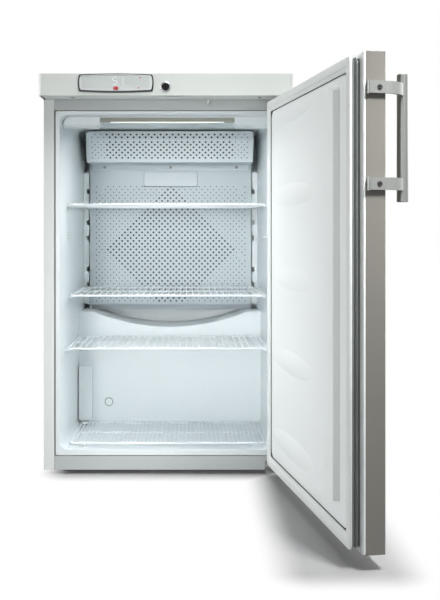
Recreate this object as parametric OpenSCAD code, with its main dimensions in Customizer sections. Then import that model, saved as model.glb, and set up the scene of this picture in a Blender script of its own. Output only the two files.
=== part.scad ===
/* [Cabinet] */
// Width of the steel cabinet body
body_w = 556; // [520:1:600]
// Height from the floor to the underside of the top cover
body_h = 848; // [820:1:880]
// Depth from the front plane to the back of the side panels
body_d = 508; // [496:1:540]
// Thickness of the steel sheet
sheet_t = 1; // [0.8:0.1:1.4]
// Height of the feet under the base
foot_h = 10; // [8:1:20]
// Width of the front return flange on each side panel
side_flange_w = 23.4; // [18:0.2:26]
// Height of the face of the top cross member
top_rail_h = 24.5; // [20:0.5:30]
// Height of the face of the bottom cross member
bottom_rail_h = 31; // [26:1:36]
// Width of the dark seam between a side flange and the liner
side_seam = 3.6; // [2:0.2:5]
// Gap between a cross member and the liner flange
rail_seam = 1.8; // [1:0.2:3]
// Depth of the steel returns and of the seam
return_d = 10; // [7:1:14]

/* [Inner liner] */
// Wall of the moulded liner
liner_t = 1.5; // [1:0.25:2.5]
// Width of the liner flange at each side of the opening
liner_flange_w = 8.5; // [6:0.5:12]
// Height of the liner flange above the opening
liner_flange_top = 7; // [5:0.5:12]
// Height of the sill below the opening
liner_sill_h = 13; // [10:0.5:16]
// Depth over which the sill falls to the floor
sill_d = 14; // [8:1:20]
// Corner radius of the liner
liner_r = 18; // [12:1:26]
// How much each side wall closes in from front to back
draft = 5.5; // [0:0.5:7]
// Insulation between the outside bottom and the liner floor
floor_wall = 34; // [28:1:38]
// Insulation between the liner back and the back panel
back_wall = 40; // [34:1:46]
// Depth of the step over the compressor niche
step_d = 142; // [120:1:150]
// Height of the step above the liner floor
step_h = 294; // [280:1:310]
// Depth of the concave arc in the edge of the step
arc_sag = 40; // [30:1:46]
// Half width of the concave arc
arc_half_w = 202; // [180:1:210]
// Insulation between the liner and the compressor niche
niche_wall = 34; // [28:1:38]

/* [Top cover] */
// How far the cover stands out past the body at each side
cover_side = 2; // [1:0.5:5]
// How far the fascia stands forward of the cabinet front
fascia_d = 62; // [60:1:72]
// Height of the top cover and its fascia
cover_h = 48; // [42:1:60]
// Wall of the top cover
cover_t = 2.5; // [2:0.25:4]
// Radius of the vertical front corners of the cover
cover_r = 8; // [4:1:16]
// Distance of the display from the middle of the cabinet
display_x = 110; // [100:1:130]
// Width of the display bezel
bezel_w = 164; // [150:1:176]
// Height of the display bezel
bezel_h = 40; // [36:0.5:40]
// Height of the display panel inside the bezel
panel_window_h = 33; // [28:0.5:34]
// Width of the oval alarm button
button_w = 12; // [9:0.5:16]
// Height of the oval alarm button
button_h = 7.4; // [6:0.2:9]
// Travel of the alarm button
button_travel = 1.5; // [1:0.1:2]
// Radius of the chrome ring of the lock
lock_r = 11.6; // [10:0.2:14]
// Radius of the turning core of the lock
lock_core_r = 8.5; // [7:0.2:9]

/* [Cooling] */
// Depth of the air duct behind the perforated panel
plenum_d = 48; // [42:1:54]
// Gap between the air panel and each side wall
air_panel_gap = 17.6; // [14:0.1:20]
// Height of the perforated back panel
air_panel_h = 379; // [360:1:385]
// Thickness of the perforated sheets
perf_t = 1.2; // [0.8:0.1:2]
// Distance between holes in a row
hole_pitch = 15.6; // [14:0.2:24]
// Radius of the small holes
small_hole_r = 1.5; // [1:0.1:2]
// Radius of the large holes
large_hole_r = 2.5; // [1.5:0.1:3]
// Height of the evaporator cover
evap_h = 79; // [72:1:82]
// How far the evaporator cover stays in from the air panel's edges
evap_in = 2; // [0:0.5:8]
// Height of the slotted drip gutter
gutter_h = 13; // [10:1:18]
// Radius of the evaporator tube
evap_tube_r = 4; // [3:0.5:5]
// Radius of the fan blades
fan_r = 32; // [26:1:33]
// Number of fan blades
fan_blades = 5; // [3:1:9]

/* [Shelves] */
// Gap between a shelf's rear corner and each side wall
shelf_gap = 2.6; // [1.5:0.1:6]
// Depth of the two upper shelves
shelf_d = 310; // [280:1:310]
// Depth of the lower shelf
low_shelf_d = 234; // [210:1:238]
// Distance from the cabinet front to the upper shelves
shelf_front = 105; // [100:1:110]
// Distance from the cabinet front to the lower shelf and rack
low_shelf_front = 66; // [60:1:70]
// Height of the upper shelf
shelf_top_z = 613; // [590:1:640]
// Height of the middle shelf
shelf_middle_z = 396; // [380:1:420]
// Height of the lower shelf
shelf_lower_z = 275; // [230:1:285]
// Radius of the frame wire
frame_wire_r = 2.5; // [2:0.1:3]
// Radius of the thin wires
thin_wire_r = 1.4; // [1:0.1:2]
// Number of thin wires in a shelf
shelf_wires = 31; // [20:1:40]
// Number of thin wires in the floor rack
rack_wires = 44; // [30:1:50]
// Gap between the floor rack and each side wall
rack_gap = 9; // [7:0.5:16]

/* [Door] */
// Angle at which the door stands open at rest
door_angle = 99.3; // [60:0.1:120]
// Distance of the hinge axis inside the door edge
hinge_in = 13; // [11:0.5:14]
// Distance of the hinge axis in front of the cabinet
hinge_out = 43; // [43:0.5:46]
// Depth of the steel pan of the door
pan_d = 35; // [30:1:40]
// Depth of the gasket and its trim together
seal_d = 25; // [23:0.5:28]
// Thickness of the white trim round the door
trim_t = 3; // [2:0.5:4]
// Gap between the gasket and the closed cabinet
seal_gap = 1.2; // [0.9:0.1:2]
// Gap between the door and the fascia above it
door_top_gap = 6; // [5:0.5:10]
// Height of the bottom of the door above the base
door_bottom_up = 17; // [16:1:24]
// Width of the gasket
gasket_w = 24; // [18:1:25]
// Distance of the gasket inside the door edge
gasket_in = 6.5; // [5:0.5:8]
// Height of the inner panel rim above its base
pillow_rim = 12; // [8:0.5:14]
// Height of the inner panel field above its base
pillow_field = 7; // [4:0.5:10]
// Distance of the latch side of the inner panel from the door edge
pillow_latch_in = 69; // [60:1:80]
// Length of the leaf shaped ribs
leaf_l = 304; // [260:1:320]
// Height of the leaf shaped ribs on the panel
leaf_w = 47; // [36:1:56]
// How far the leaf shaped ribs stand out
leaf_out = 3.5; // [2:0.5:5]
// Distance between the leaf shaped ribs
leaf_pitch = 168; // [150:1:172]

/* [Handle] */
// Radius of the handle tube
handle_r = 9.5; // [8:0.5:12]
// Length of the handle tube
handle_l = 213; // [180:1:260]
// Height of the middle of the handle
handle_z = 705.5; // [640:0.5:720]
// Distance between the two handle brackets
handle_pitch = 156; // [130:1:180]
// Distance of the tube in front of the door face
handle_out = 43; // [36:1:50]
// Distance of the tube inside the latch edge
handle_in = 36.6; // [34:0.2:44]
// Height of a handle bracket
bracket_h = 20; // [16:1:26]
// Thickness of a handle bracket
bracket_t = 6; // [5:0.5:8]

/* [Machinery] */
// Radius of the compressor shell
compressor_r = 66; // [56:1:70]
// Height of the compressor shell
compressor_h = 160; // [140:1:176]
// Radius of the condenser tube
cond_tube_r = 2.5; // [2:0.1:3.5]
// Number of passes of the condenser tube
cond_passes = 12; // [8:2:16]
// Distance of the condenser behind the back panel
cond_gap = 24; // [18:1:30]

/* [Hidden] */
$fn = 48;

cabinet_white = [0.86, 0.87, 0.86];
liner_white = [0.90, 0.93, 0.95];
rail_grey = [0.66, 0.68, 0.68];
door_steel = [0.62, 0.61, 0.58];
satin = [0.72, 0.72, 0.71];
dark = [0.12, 0.12, 0.13];

// A small clearance between pieces that move past each other
run = 0.3;
eps = 0.01;

// Cabinet levels and half widths, worked out from the sizes above
hw = body_w / 2;
skin_hw = hw - sheet_t;
flange_hw = hw - side_flange_w - side_seam;
open_hw = flange_hw - liner_flange_w;
rail_bottom = body_h - top_rail_h;
flange_top = rail_bottom - rail_seam;
open_top = flange_top - liner_flange_top;
flange_bottom = foot_h + bottom_rail_h + rail_seam;
open_bottom = flange_bottom + liner_sill_h;
floor_z = foot_h + floor_wall;
cav_back = body_d - back_wall;
low_back = cav_back - step_d;
step_z = floor_z + step_h;
arc_r = (pow(arc_half_w, 2) + pow(arc_sag, 2)) / (2 * arc_sag);
niche_front = low_back + niche_wall;
niche_top = step_z - arc_sag - niche_wall;
cover_hw = hw + cover_side;
cover_top = body_h + cover_h;
base_top = foot_h + sheet_t;
back_in = body_d - 2 * sheet_t;

// Half width of the liner cavity at a depth y
function wall_at(y) = open_hw - draft * y / cav_back;

// Door levels, in the place of the closed door
door_hw = hw;
door_bottom = foot_h + door_bottom_up;
door_top = body_h - door_top_gap;
seal_face = -seal_gap;
trim_front = seal_face - seal_d + trim_t;
pan_back = seal_face - seal_d;
pan_front = pan_back - pan_d;
hinge_x = hw - hinge_in;
hinge_y = -hinge_out;
hinge_pin_r = 4;
bush_wall = 2;
cap_h = 14;
door_mid_z = (door_top + door_bottom) / 2;
plateau_y = seal_face - 5;
pillow_z0 = door_bottom + 47;
pillow_z1 = door_top - 46;

// Handle, in the place of the closed door
tube_x = -door_hw + handle_in;
tube_y = pan_front - handle_out;

// The middle of the whole object with its door open
function open_x(x, y) = hinge_x + (x - hinge_x) * cos(door_angle) - (y - hinge_y) * sin(door_angle);
function open_y(x, y) = hinge_y + (x - hinge_x) * sin(door_angle) + (y - hinge_y) * cos(door_angle);
cond_y = body_d + cond_gap;
cond_wire_r = 1.2;
sleeve = 0.4;
rear_y = cond_y + cond_tube_r + sleeve + 2 * cond_wire_r;
reach_x = open_x(tube_x, tube_y) + handle_r;
strap_end_y = pan_back - 2;
reach_y = open_y(-door_hw - bracket_t, strap_end_y);
mid_x = (reach_x - cover_hw) / 2;
mid_y = (rear_y + reach_y) / 2;

// Places a piece of the cabinet about the middle of the object
module on_cabinet() translate([-mid_x, -mid_y, 0]) children();

// Swings a piece of the closed door to its open place
module on_door() on_cabinet()
  translate([hinge_x, hinge_y, 0]) rotate([0, 0, door_angle])
    translate([-hinge_x, -hinge_y, 0]) children();

// Extrudes an outline drawn in X and Z from y0 to y1
module along_y(y0, y1) translate([0, y1, 0]) rotate([90, 0, 0]) linear_extrude(y1 - y0) children();

// Extrudes an outline drawn in Y and Z from x0 to x1
module along_x(x0, x1) translate([x0, 0, 0]) rotate([90, 0, 90]) linear_extrude(x1 - x0) children();

// Extrudes an outline drawn in X and Y from z0 to z1
module along_z(z0, z1) translate([0, 0, z0]) linear_extrude(z1 - z0) children();

// A box between two corners
module box(a, b) translate(a) cube(b - a);

// Draws a piece on both sides of the middle plane
module both_sides() {
  children();
  mirror([1, 0, 0]) children();
}

// A flat rectangle between two corners
module rect(x0, z0, x1, z1) translate([x0, z0]) square([x1 - x0, z1 - z0]);

// A rectangle between two corners with round corners
module round_rect(x0, z0, x1, z1, r) {
  rect(x0 + r, z0, x1 - r, z1);
  rect(x0, z0 + r, x1, z1 - r);
  for (x = [x0 + r, x1 - r], z = [z0 + r, z1 - r]) translate([x, z]) circle(r);
}

// A slot with round ends, w long and h high
module slot(w, h) {
  square([w - h, h], center = true);
  for (s = [-1, 1]) translate([s * (w - h) / 2, 0]) circle(h / 2);
}

// A wire between two points
module wire(a, b, r) {
  v = b - a;
  l = norm(v);
  translate(a) rotate([0, acos(v[2] / l), atan2(v[1], v[0])]) cylinder(r = r, h = l);
}

// A quarter bend of wire about a corner, from angle a0 in the XY plane
module bend(c, bend_r, r, a0) translate(c) rotate([0, 0, a0])
  rotate_extrude(angle = 90) translate([bend_r, 0]) circle(r);

// Side panel of the right side, bent from one sheet
module side_panel() along_z(foot_h, body_h) {
  rect(skin_hw, 0, hw, body_d);
  rect(hw - side_flange_w, 0, hw, sheet_t);
  rect(hw - side_flange_w, 0, hw - side_flange_w + sheet_t, return_d - sheet_t);
  rect(hw - 16, body_d - sheet_t, hw, body_d);
}

module left_side_panel() color(cabinet_white) on_cabinet() mirror([1, 0, 0]) side_panel();

module right_side_panel() color(cabinet_white) on_cabinet() side_panel();

// A cross member bent back along both edges
module cross_rail(z0, z1) {
  rail_hw = hw - side_flange_w - 0.4;
  along_x(-rail_hw, rail_hw) {
    rect(0, z0, sheet_t, z1);
    rect(0, z0, return_d, z0 + sheet_t);
    rect(0, z1 - sheet_t, return_d, z1);
  }
}

module top_rail() color(rail_grey) on_cabinet() cross_rail(rail_bottom, body_h);

module bottom_rail() color(rail_grey) on_cabinet() cross_rail(foot_h, foot_h + bottom_rail_h);

// Base sheet with a hole for the thread of each front foot
module base_pan() color(rail_grey) on_cabinet() difference() {
  box([-skin_hw, return_d, foot_h], [skin_hw, body_d - sheet_t, base_top]);
  both_sides() translate([foot_x, foot_y, foot_h - 1]) cylinder(r = foot_thread_r + run, h = 4);
}

// Back panel with two stiffening swages
module back_panel() color(rail_grey) on_cabinet() {
  difference() {
    along_y(back_in, body_d - sheet_t) rect(-skin_hw, niche_top, skin_hw, body_h);
    along_y(body_d - 3 * sheet_t, body_d)
      for (z = [niche_top + 60, body_h - 60]) round_rect(-200, z - 4, 200, z + 4, 3);
  }
}

// The liner cavity, grown outward by g
module cavity(g) difference() {
  hull() {
    along_y(-1, 0) cavity_outline(open_hw + g, open_bottom - g, open_top + g, g);
    along_y(sill_d, sill_d + 1) cavity_outline(wall_at(sill_d) + g, floor_z - g, open_top + g, g);
    along_y(cav_back + g - 1, cav_back + g) cavity_outline(wall_at(cav_back) + g, floor_z - g, open_top + g, g);
  }
  step_block(g);
}

module cavity_outline(half, z0, z1, g)
  for (x = [-1, 1], z = [z0 + liner_r + g, z1 - liner_r - g])
    translate([x * (half - liner_r - g), z]) circle(liner_r + g, $fn = 32);

// The step that the liner makes over the niche, with its concave edge
module step_block(g) difference() {
  box([-hw, low_back + g, foot_h], [hw, body_d, step_z - g]);
  translate([0, low_back - 1, step_z - arc_sag + arc_r]) rotate([-90, 0, 0])
    cylinder(r = arc_r + g, h = body_d, $fn = 256);
}

// Foam between the steel and the liner, open at the niche
module foam_insulation() color([0.87, 0.80, 0.60]) on_cabinet() difference() {
  union() {
    box([-skin_hw, return_d, base_top], [skin_hw, back_in, body_h]);
    along_y(liner_t, return_d + 1) rect(-flange_hw, flange_bottom, flange_hw, flange_top);
  }
  cavity(liner_t);
  box([-hw, niche_front, 0], [hw, body_d, niche_top]);
}

// Bent sheet that closes the foam above and in front of the compressor
module niche_cover() color(rail_grey) on_cabinet() along_x(-skin_hw, skin_hw) {
  rect(niche_front, base_top, niche_front + sheet_t, niche_top);
  rect(niche_front, niche_top - sheet_t, back_in, niche_top);
}

// The white moulded liner with its front flange
module inner_liner() color(liner_white) on_cabinet() difference() {
  union() {
    difference() {
      cavity(liner_t);
      box([-hw, -2, 0], [hw, liner_t, body_h]);
    }
    along_y(0, liner_t) round_rect(-flange_hw, flange_bottom, flange_hw, flange_top, 6);
  }
  cavity(0);
  translate([port_x, low_back - 1, port_z]) rotate([-90, 0, 0]) cylinder(r = port_r, h = 5);
}

// Plastic strip deep in the seam at both sides of the liner
module breaker_strip() color(dark) on_cabinet() both_sides()
  box([flange_hw, return_d - 4, flange_bottom], [hw - side_flange_w, return_d, flange_top]);

// The top cover: fascia, sides, rear and worktop in one shell
module top_cover() color(cabinet_white) on_cabinet() difference() {
  cover_block(0);
  intersection() {
    cover_block(cover_t);
    box([-hw * 2, -fascia_d * 2, 0], [hw * 2, body_d * 2, cover_top - cover_t]);
  }
  along_y(-fascia_d - 1, -fascia_d + cover_t + 1) {
    translate([-display_x, display_z]) display_outline(bezel_w - 5, bezel_h - 5);
    translate([lock_x, lock_z]) circle(lock_body_r);
  }
}

// Outline of the top cover, drawn in by g
module cover_block(g) difference() {
  along_z(body_h - (g > 0 ? 1 : 0), cover_top) {
    rect(-cover_hw + g, -fascia_d + cover_r, cover_hw - g, body_d - g);
    rect(-cover_hw + cover_r, -fascia_d + g, cover_hw - cover_r, body_d - g);
    for (x = [-1, 1]) translate([x * (cover_hw - cover_r), cover_r - fascia_d]) circle(cover_r - g);
  }
}

// Plate under the fascia, with its slots and screw holes
module fascia_base() color(cabinet_white) on_cabinet() {
  difference() {
    box([-cover_hw + cover_r, -fascia_d + cover_t, body_h], [cover_hw - cover_r, 0, body_h + cover_t]);
    along_z(body_h - 1, body_h + cover_t + 1) {
      translate([lock_x + 12, cam_y + cam_t / 2]) slot(44, 12);
      translate([hinge_x, hinge_y]) circle(hinge_pin_r + 0.1);
      translate([switch_x, switch_y]) square([switch_w + 2, 12], center = true);
      for (x = [-1, 1]) translate([x * fascia_screw_x, -33]) circle(2.2);
    }
  }
  for (s = [-1, 1]) translate([switch_x + s * (switch_w / 2 + 1 + lug_t / 2), switch_y, 0])
    along_x(-lug_t / 2, lug_t / 2) difference() {
      union() {
        translate([0, lever_pivot_z]) circle(4);
        rect(-4, body_h + cover_t - eps, 4, lever_pivot_z);
      }
      translate([0, lever_pivot_z]) circle(switch_pin_r + 0.1);
    }
}

display_z = body_h + 27.5;
fascia_screw_x = cover_hw - 72;
switch_x = 94;
switch_y = -14;
switch_w = 4;
switch_pin_r = 1.5;
lug_t = 3;
lock_x = -1;
lock_z = body_h + 18.5;
lock_body_r = 10;
lock_body_l = 15;
cam_y = -fascia_d + lock_body_l + 1.5;
cam_t = 2.5;
cam_l = 33;
port_x = 118 - hw;
port_z = floor_z + 58;
port_r = 9.2;
foot_x = hw - 50;
foot_y = 45;
foot_thread_r = 4;
lever_pivot_z = body_h + 9;
button_z = display_z - 11.5;

// Outline of the display, w wide and h high, with four bowed sides and rounded corners
module display_outline(w, h) {
  side = bow_radius(h, side_bow);
  level = bow_radius(w, level_bow);
  side_c = [w / 2 - side, 0];
  level_c = [0, h / 2 - level];
  corner = crossing(side_c, side - display_r, level_c, level - display_r);
  side_a = atan2(corner[1] - side_c[1], corner[0] - side_c[0]);
  level_a = atan2(corner[1] - level_c[1], corner[0] - level_c[0]);
  quarter = concat(
    arc(side_c, side, 0, side_a, 6),
    [for (i = [1:8]) arc(corner, display_r, side_a, level_a, 8)[i]],
    [for (i = [1:6]) arc(level_c, level, level_a, 90, 6)[i]]);
  n = len(quarter);
  polygon(concat(
    quarter,
    [for (i = [n - 2:-1:0]) [-quarter[i][0], quarter[i][1]]],
    [for (i = [1:n - 1]) [-quarter[i][0], -quarter[i][1]]],
    [for (i = [n - 2:-1:1]) [quarter[i][0], -quarter[i][1]]]));
}

side_bow = 3.6;
level_bow = 2.6;
display_r = 4;

// Radius of an arc that rises by rise over a chord
function bow_radius(chord, rise) = (pow(chord / 2, 2) + pow(rise, 2)) / (2 * rise);

// Points on an arc about c, in n steps
function arc(c, r, from, to, n) = [for (i = [0:n]) let (a = from + (to - from) * i / n) c + r * [cos(a), sin(a)]];

// Where two circles cross, on the right as seen from the first centre to the second
function crossing(c1, r1, c2, r2) = let (
    apart = norm(c2 - c1),
    along = (r1 * r1 - r2 * r2 + apart * apart) / (2 * apart),
    off = sqrt(r1 * r1 - along * along),
    u = (c2 - c1) / apart
  ) c1 + along * u + off * [-u[1], u[0]];

// Dark rim of the display, seated in the fascia
module display_bezel() color([0.25, 0.26, 0.27]) on_cabinet() translate([-display_x, 0, display_z])
  difference() {
    along_y(-fascia_d - 2, -fascia_d) display_outline(bezel_w, bezel_h);
    along_y(-fascia_d - 3, -fascia_d + 1) display_outline(bezel_w - rim, bezel_h - rim);
  }

rim = bezel_h - panel_window_h;

// Pale panel of the display, clipped in behind the rim, with the well of the button
module display_panel() color([0.85, 0.86, 0.86]) on_cabinet() translate([-display_x, 0, display_z])
  difference() {
    union() {
      along_y(-fascia_d - 1.4, -fascia_d + 8) display_outline(bezel_w - rim - 0.1, bezel_h - rim - 0.1);
      along_y(-fascia_d, -fascia_d + 8) display_outline(bezel_w - 5.4, bezel_h - 5.4);
    }
    translate([0, 0, button_z - display_z]) along_y(-fascia_d - 2, -fascia_d + 9)
      slot(button_w + 0.8, button_h + 0.8);
  }

// Oval red button with its stem behind the panel
module alarm_button() color([0.80, 0.16, 0.14]) on_cabinet() translate([-display_x, 0, button_z]) {
  along_y(-fascia_d - 2.6, -fascia_d + 1) slot(button_w, button_h);
  along_y(-fascia_d + 1 - eps, -fascia_d + 4) slot(button_w - 3, button_h - 3);
}

// Two small signal lamps set on the panel
module indicator_lamps() color([0.85, 0.20, 0.18]) on_cabinet()
  for (p = [[-display_x + 54, display_z + 11], [-display_x + 50, display_z - 11]])
    translate([p[0], 0, p[1]]) along_y(-fascia_d - 1.9, -fascia_d - 1.4) slot(4.2, 2);

// Chrome ring and body of the lock
module lock_barrel() color([0.82, 0.83, 0.84]) on_cabinet() translate([lock_x, 0, lock_z])
  difference() {
    union() {
      along_y(-fascia_d - 3, -fascia_d) circle(lock_r);
      along_y(-fascia_d - eps, -fascia_d + lock_body_l) circle(lock_body_r);
    }
    along_y(-fascia_d - 4, -fascia_d + lock_body_l + 1) circle(lock_core_r + 0.1);
  }

// Turning core with its key slot
module lock_core() color(dark) on_cabinet() translate([lock_x, 0, lock_z])
  difference() {
    union() {
      along_y(-fascia_d - 3.6, cam_y) circle(lock_core_r);
      along_y(cam_y - 1, cam_y + cam_t + 2) square(6, center = true);
    }
    along_y(-fascia_d - 4, -fascia_d + 12) {
      square([1.6, 8], center = true);
      circle(1.8);
    }
  }

// Cam on the back of the core, lying to the side when unlocked
module lock_cam() color(satin) on_cabinet() translate([lock_x, 0, lock_z])
  difference() {
    along_y(cam_y, cam_y + cam_t) {
      circle(8);
      translate([0, -5]) square([cam_l, 10]);
    }
    along_y(cam_y - 1, cam_y + cam_t + 1) square(6.04, center = true);
  }

// Lamp housing across the front of the ceiling
lamp_y0 = 40;
lamp_y1 = 100;
lamp_h = 24;
lamp_side = 85;
lamp_base_t = 2.5;
strip_h = 9.5;

module lamp_housing() color(liner_white) on_cabinet() {
  lamp_hw = wall_at(lamp_y1) - 0.5;
  inner = lamp_hw - lamp_side;
  z0 = open_top - lamp_h;
  difference() {
    along_x(-lamp_hw, lamp_hw) polygon([
      [lamp_y0, open_top], [lamp_y0, z0 + 5], [lamp_y0 + 5, z0],
      [lamp_y1 - 14, z0], [lamp_y1, z0 + 12], [lamp_y1, open_top]]);
    along_y(lamp_y0 - 1, lamp_y1 + 1) polygon([
      [-inner - 9, z0 - 1], [-inner, z0 + 9], [-inner, open_top - lamp_base_t],
      [inner, open_top - lamp_base_t], [inner, z0 + 9], [inner + 9, z0 - 1]]);
    both_sides() difference() {
      box([lamp_hw - liner_r, lamp_y0 - 1, open_top - liner_r], [lamp_hw + 1, lamp_y1 + 1, open_top + 1]);
      translate([lamp_hw - liner_r, lamp_y0 - 2, open_top - liner_r]) rotate([-90, 0, 0])
        cylinder(r = liner_r, h = lamp_y1 - lamp_y0 + 4);
    }
  }
}

// Light bar between the end covers of the lamp housing
module lamp_strip() color([0.93, 0.97, 0.95]) on_cabinet() {
  strip_hw = wall_at(lamp_y1) - 0.5 - lamp_side - run;
  top = open_top - lamp_base_t;
  along_x(-strip_hw, strip_hw) polygon([
    [lamp_y0 + 3, top], [lamp_y0 + 3, top - strip_h + 2.5], [lamp_y0 + 6, top - strip_h],
    [lamp_y0 + 22, top - strip_h], [lamp_y0 + 28, top]]);
}

// Places of the perforated sheets
duct_y = cav_back - plenum_d;
air_z0 = step_z + gutter_h;
air_z1 = air_z0 + air_panel_h;
air_hw = wall_at(duct_y) - air_panel_gap;
evap_z0 = air_z1 + 1;
evap_z1 = evap_z0 + evap_h;
evap_hw = air_hw - evap_in;
evap_top_d = 118;
evap_low_d = 93;
evap_top_y = duct_y - evap_top_d;
evap_low_y = duct_y - evap_low_d;
fold_z = evap_z1 - 23;
evap_foot = 15;

// Side profile of the evaporator cover in Y and Z, drawn in by g
module evap_profile(g) polygon([
  [evap_top_y + g, evap_z1 - g], [evap_top_y + g, fold_z],
  [evap_low_y + g, evap_z0 + g], [duct_y + (g > 0 ? 1 : 0), evap_z0 + g],
  [duct_y + (g > 0 ? 1 : 0), evap_z1 - g]]);

evap_row = 7.2;
evap_pitch = hole_pitch;
evap_cols = floor((evap_hw - 12) / evap_pitch);
slope_a = atan2(evap_low_y - evap_top_y, fold_z - evap_z0);

// One row of holes, staggered on odd rows, larger near the middle
module hole_row(odd, half, reach)
  for (i = [-evap_cols:evap_cols])
    let (x = (i + (odd ? 0.5 : 0)) * evap_pitch)
      if (abs(x) < half) translate([x, 0]) circle(abs(x) < reach ? large_hole_r : small_hole_r);

// Bent and perforated cover of the evaporator
module evaporator_cover() color(liner_white) on_cabinet() difference() {
  union() {
    difference() {
      along_x(-evap_hw, evap_hw) evap_profile(0);
      along_x(-evap_hw + perf_t, evap_hw - perf_t) evap_profile(perf_t);
      along_y(0, cav_back) evap_corner_cut();
    }
    box([-evap_hw + 6, duct_y - perf_t, evap_z0 - evap_foot], [evap_hw - 6, duct_y, evap_z0 + perf_t]);
  }
  for (r = [0, 1]) translate([0, evap_top_y + 3, fold_z + 7 + r * evap_row]) rotate([90, 0, 0])
    linear_extrude(6) hole_row(r == 1, evap_hw - 12, evap_hw - 53);
  translate([0, evap_top_y, fold_z]) rotate([90 + slope_a, 0, 0])
    for (r = [0:6]) translate([0, -6 - r * evap_row, -4]) linear_extrude(8)
      hole_row(r % 2 == 1, evap_hw - 12, evap_hw - 53);
  for (s = screw_places) translate([s, duct_y - 4, evap_z0 - 7]) rotate([-90, 0, 0]) cylinder(r = 2, h = 6);
}

screw_places = [-evap_hw + 38, 0, evap_hw - 38];

// Round upper corners of the cover face
module evap_corner_cut() both_sides() difference() {
  translate([evap_hw - 10, evap_z1 - 10]) square(12);
  translate([evap_hw - 10, evap_z1 - 10]) circle(10);
}

// Perforated back panel with side returns to the liner
air_row = hole_pitch / 2;
air_cols = floor((air_hw - 14) / hole_pitch);
air_rows = floor((air_panel_h - 67) / air_row);
diamond_z = air_z0 + 150;
diamond_half = 178;
emboss_h = 0.8;
band_z = [air_z0 + 80, air_z0 + 187, air_z0 + 293];

// Outline of a pressed band of the panel, drawn in by g
module band_outline(i, g)
  round_rect(-air_hw + 8 + g, band_z[i] + 0.5 + g, air_hw - 8 - g, band_z[i + 1] - 0.5 - g, 12 - g);

// True where a hole of the panel is a large one
function in_diamond(x, z) = abs(x) + abs(z - diamond_z) < diamond_half;

module air_panel() color(liner_white) on_cabinet() difference() {
  union() {
    difference() {
      along_y(duct_y, duct_y + perf_t) rect(-air_hw, air_z0, air_hw, air_z1);
      for (i = [0, 1]) along_y(duct_y - 1, duct_y + perf_t + 1) band_outline(i, perf_t);
    }
    both_sides() box([air_hw - perf_t, duct_y, air_z0], [air_hw, cav_back, air_z1 - 20]);
    for (i = [0, 1]) along_y(duct_y - emboss_h, duct_y - emboss_h + perf_t) band_outline(i, 0);
    both_sides() for (z = [air_z0 + 129, air_z0 + 314]) translate([air_hw - 30, duct_y, z])
      rotate([90, 0, 0]) cylinder(r = 8, h = 1.6);
  }
  for (r = [0:air_rows])
    let (z = air_z0 + 8 + r * air_row)
      translate([0, duct_y + 2, z]) rotate([90, 0, 0]) linear_extrude(4)
        for (i = [-air_cols:air_cols])
          let (x = (i + (r % 2 == 1 ? 0.5 : 0)) * hole_pitch)
            if (abs(x) < air_hw - 12 && !near_boss(x, z))
              translate([x, 0]) circle(in_diamond(x, z) ? large_hole_r : small_hole_r);
  for (s = screw_places) translate([s, duct_y - 4, evap_z0 - 7]) rotate([-90, 0, 0]) cylinder(r = 2, h = 6);
}

// True where a hole would meet one of the round bosses
function near_boss(x, z) = abs(abs(x) - air_hw + 30) < 10
  && min(abs(z - air_z0 - 129), abs(z - air_z0 - 314)) < 10;

// Screws of the cover and of the fascia base
module panel_screws() color(satin) on_cabinet() {
  for (s = screw_places) translate([s, duct_y - perf_t, evap_z0 - 7]) rotate([90, 0, 0]) {
    cylinder(r1 = 4, r2 = 3, h = 2);
    translate([0, 0, -3]) cylinder(r = 1.9, h = 3 + eps);
  }
  for (x = [-1, 1]) translate([x * fascia_screw_x, -33, body_h - 1.6]) {
    cylinder(r1 = 3, r2 = 4, h = 1.6);
    cylinder(r = 2.1, h = 6);
  }
}

// Blank white plate over the temperature sensor
module sensor_cover() color(liner_white) on_cabinet() difference() {
  along_y(duct_y - 9, duct_y) round_rect(-72, air_z1 - 58, 72, air_z1 - 21, 4);
  along_y(duct_y - 7, duct_y + 1) round_rect(-70, air_z1 - 56, 70, air_z1 - 23, 3);
}

// Gutter that carries defrost water, with slanted ribs in its slots
module drip_gutter() color(liner_white) on_cabinet() difference() {
  along_x(-air_hw, air_hw) polygon([
    [duct_y - 12, step_z], [duct_y - 12, step_z + gutter_h], [duct_y + 5, step_z + gutter_h],
    [duct_y + 5, step_z]]);
  box([-air_hw + 3, duct_y - 9, step_z - 1], [air_hw - 3, duct_y + 2, step_z + gutter_h - 2]);
  along_y(duct_y - 13, duct_y - 8) difference() {
    rect(4 - air_hw, step_z + 2, air_hw - 4, step_z + gutter_h - 2);
    both_sides() for (r = gutter_ribs) slanted_rib(r[0], r[1]);
  }
}

// Ribs across the gutter's slot: distance from the middle and width
gutter_ribs = [[68, 21], [149, 10], [179, 8]];
rib_lean = 8;

// A rib that leans outwards at its foot
module slanted_rib(x, w) polygon([
  [x - w / 2 + rib_lean / 2, step_z], [x + w / 2 + rib_lean / 2, step_z],
  [x + w / 2 - rib_lean / 2, step_z + gutter_h], [x - w / 2 - rib_lean / 2, step_z + gutter_h]]);

// Flat evaporator behind the panel, and its tube
evap_plate_y = cav_back - 14;
plate_hw = air_hw - 24;
tube_rows = 8;
tube_pitch = (air_panel_h - 60) / (tube_rows - 1);

module evaporator_plate() color([0.80, 0.82, 0.84]) on_cabinet() {
  box([-plate_hw, evap_plate_y - 1.5, air_z0 + 10], [plate_hw, evap_plate_y, air_z1 - 12]);
  for (x = [46 - plate_hw, plate_hw - 46], z = [air_z0 + 30, air_z1 - 40]) translate([x, evap_plate_y - eps, z])
    rotate([-90, 0, 0]) cylinder(r = 6, h = cav_back - evap_plate_y + eps);
}

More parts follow.
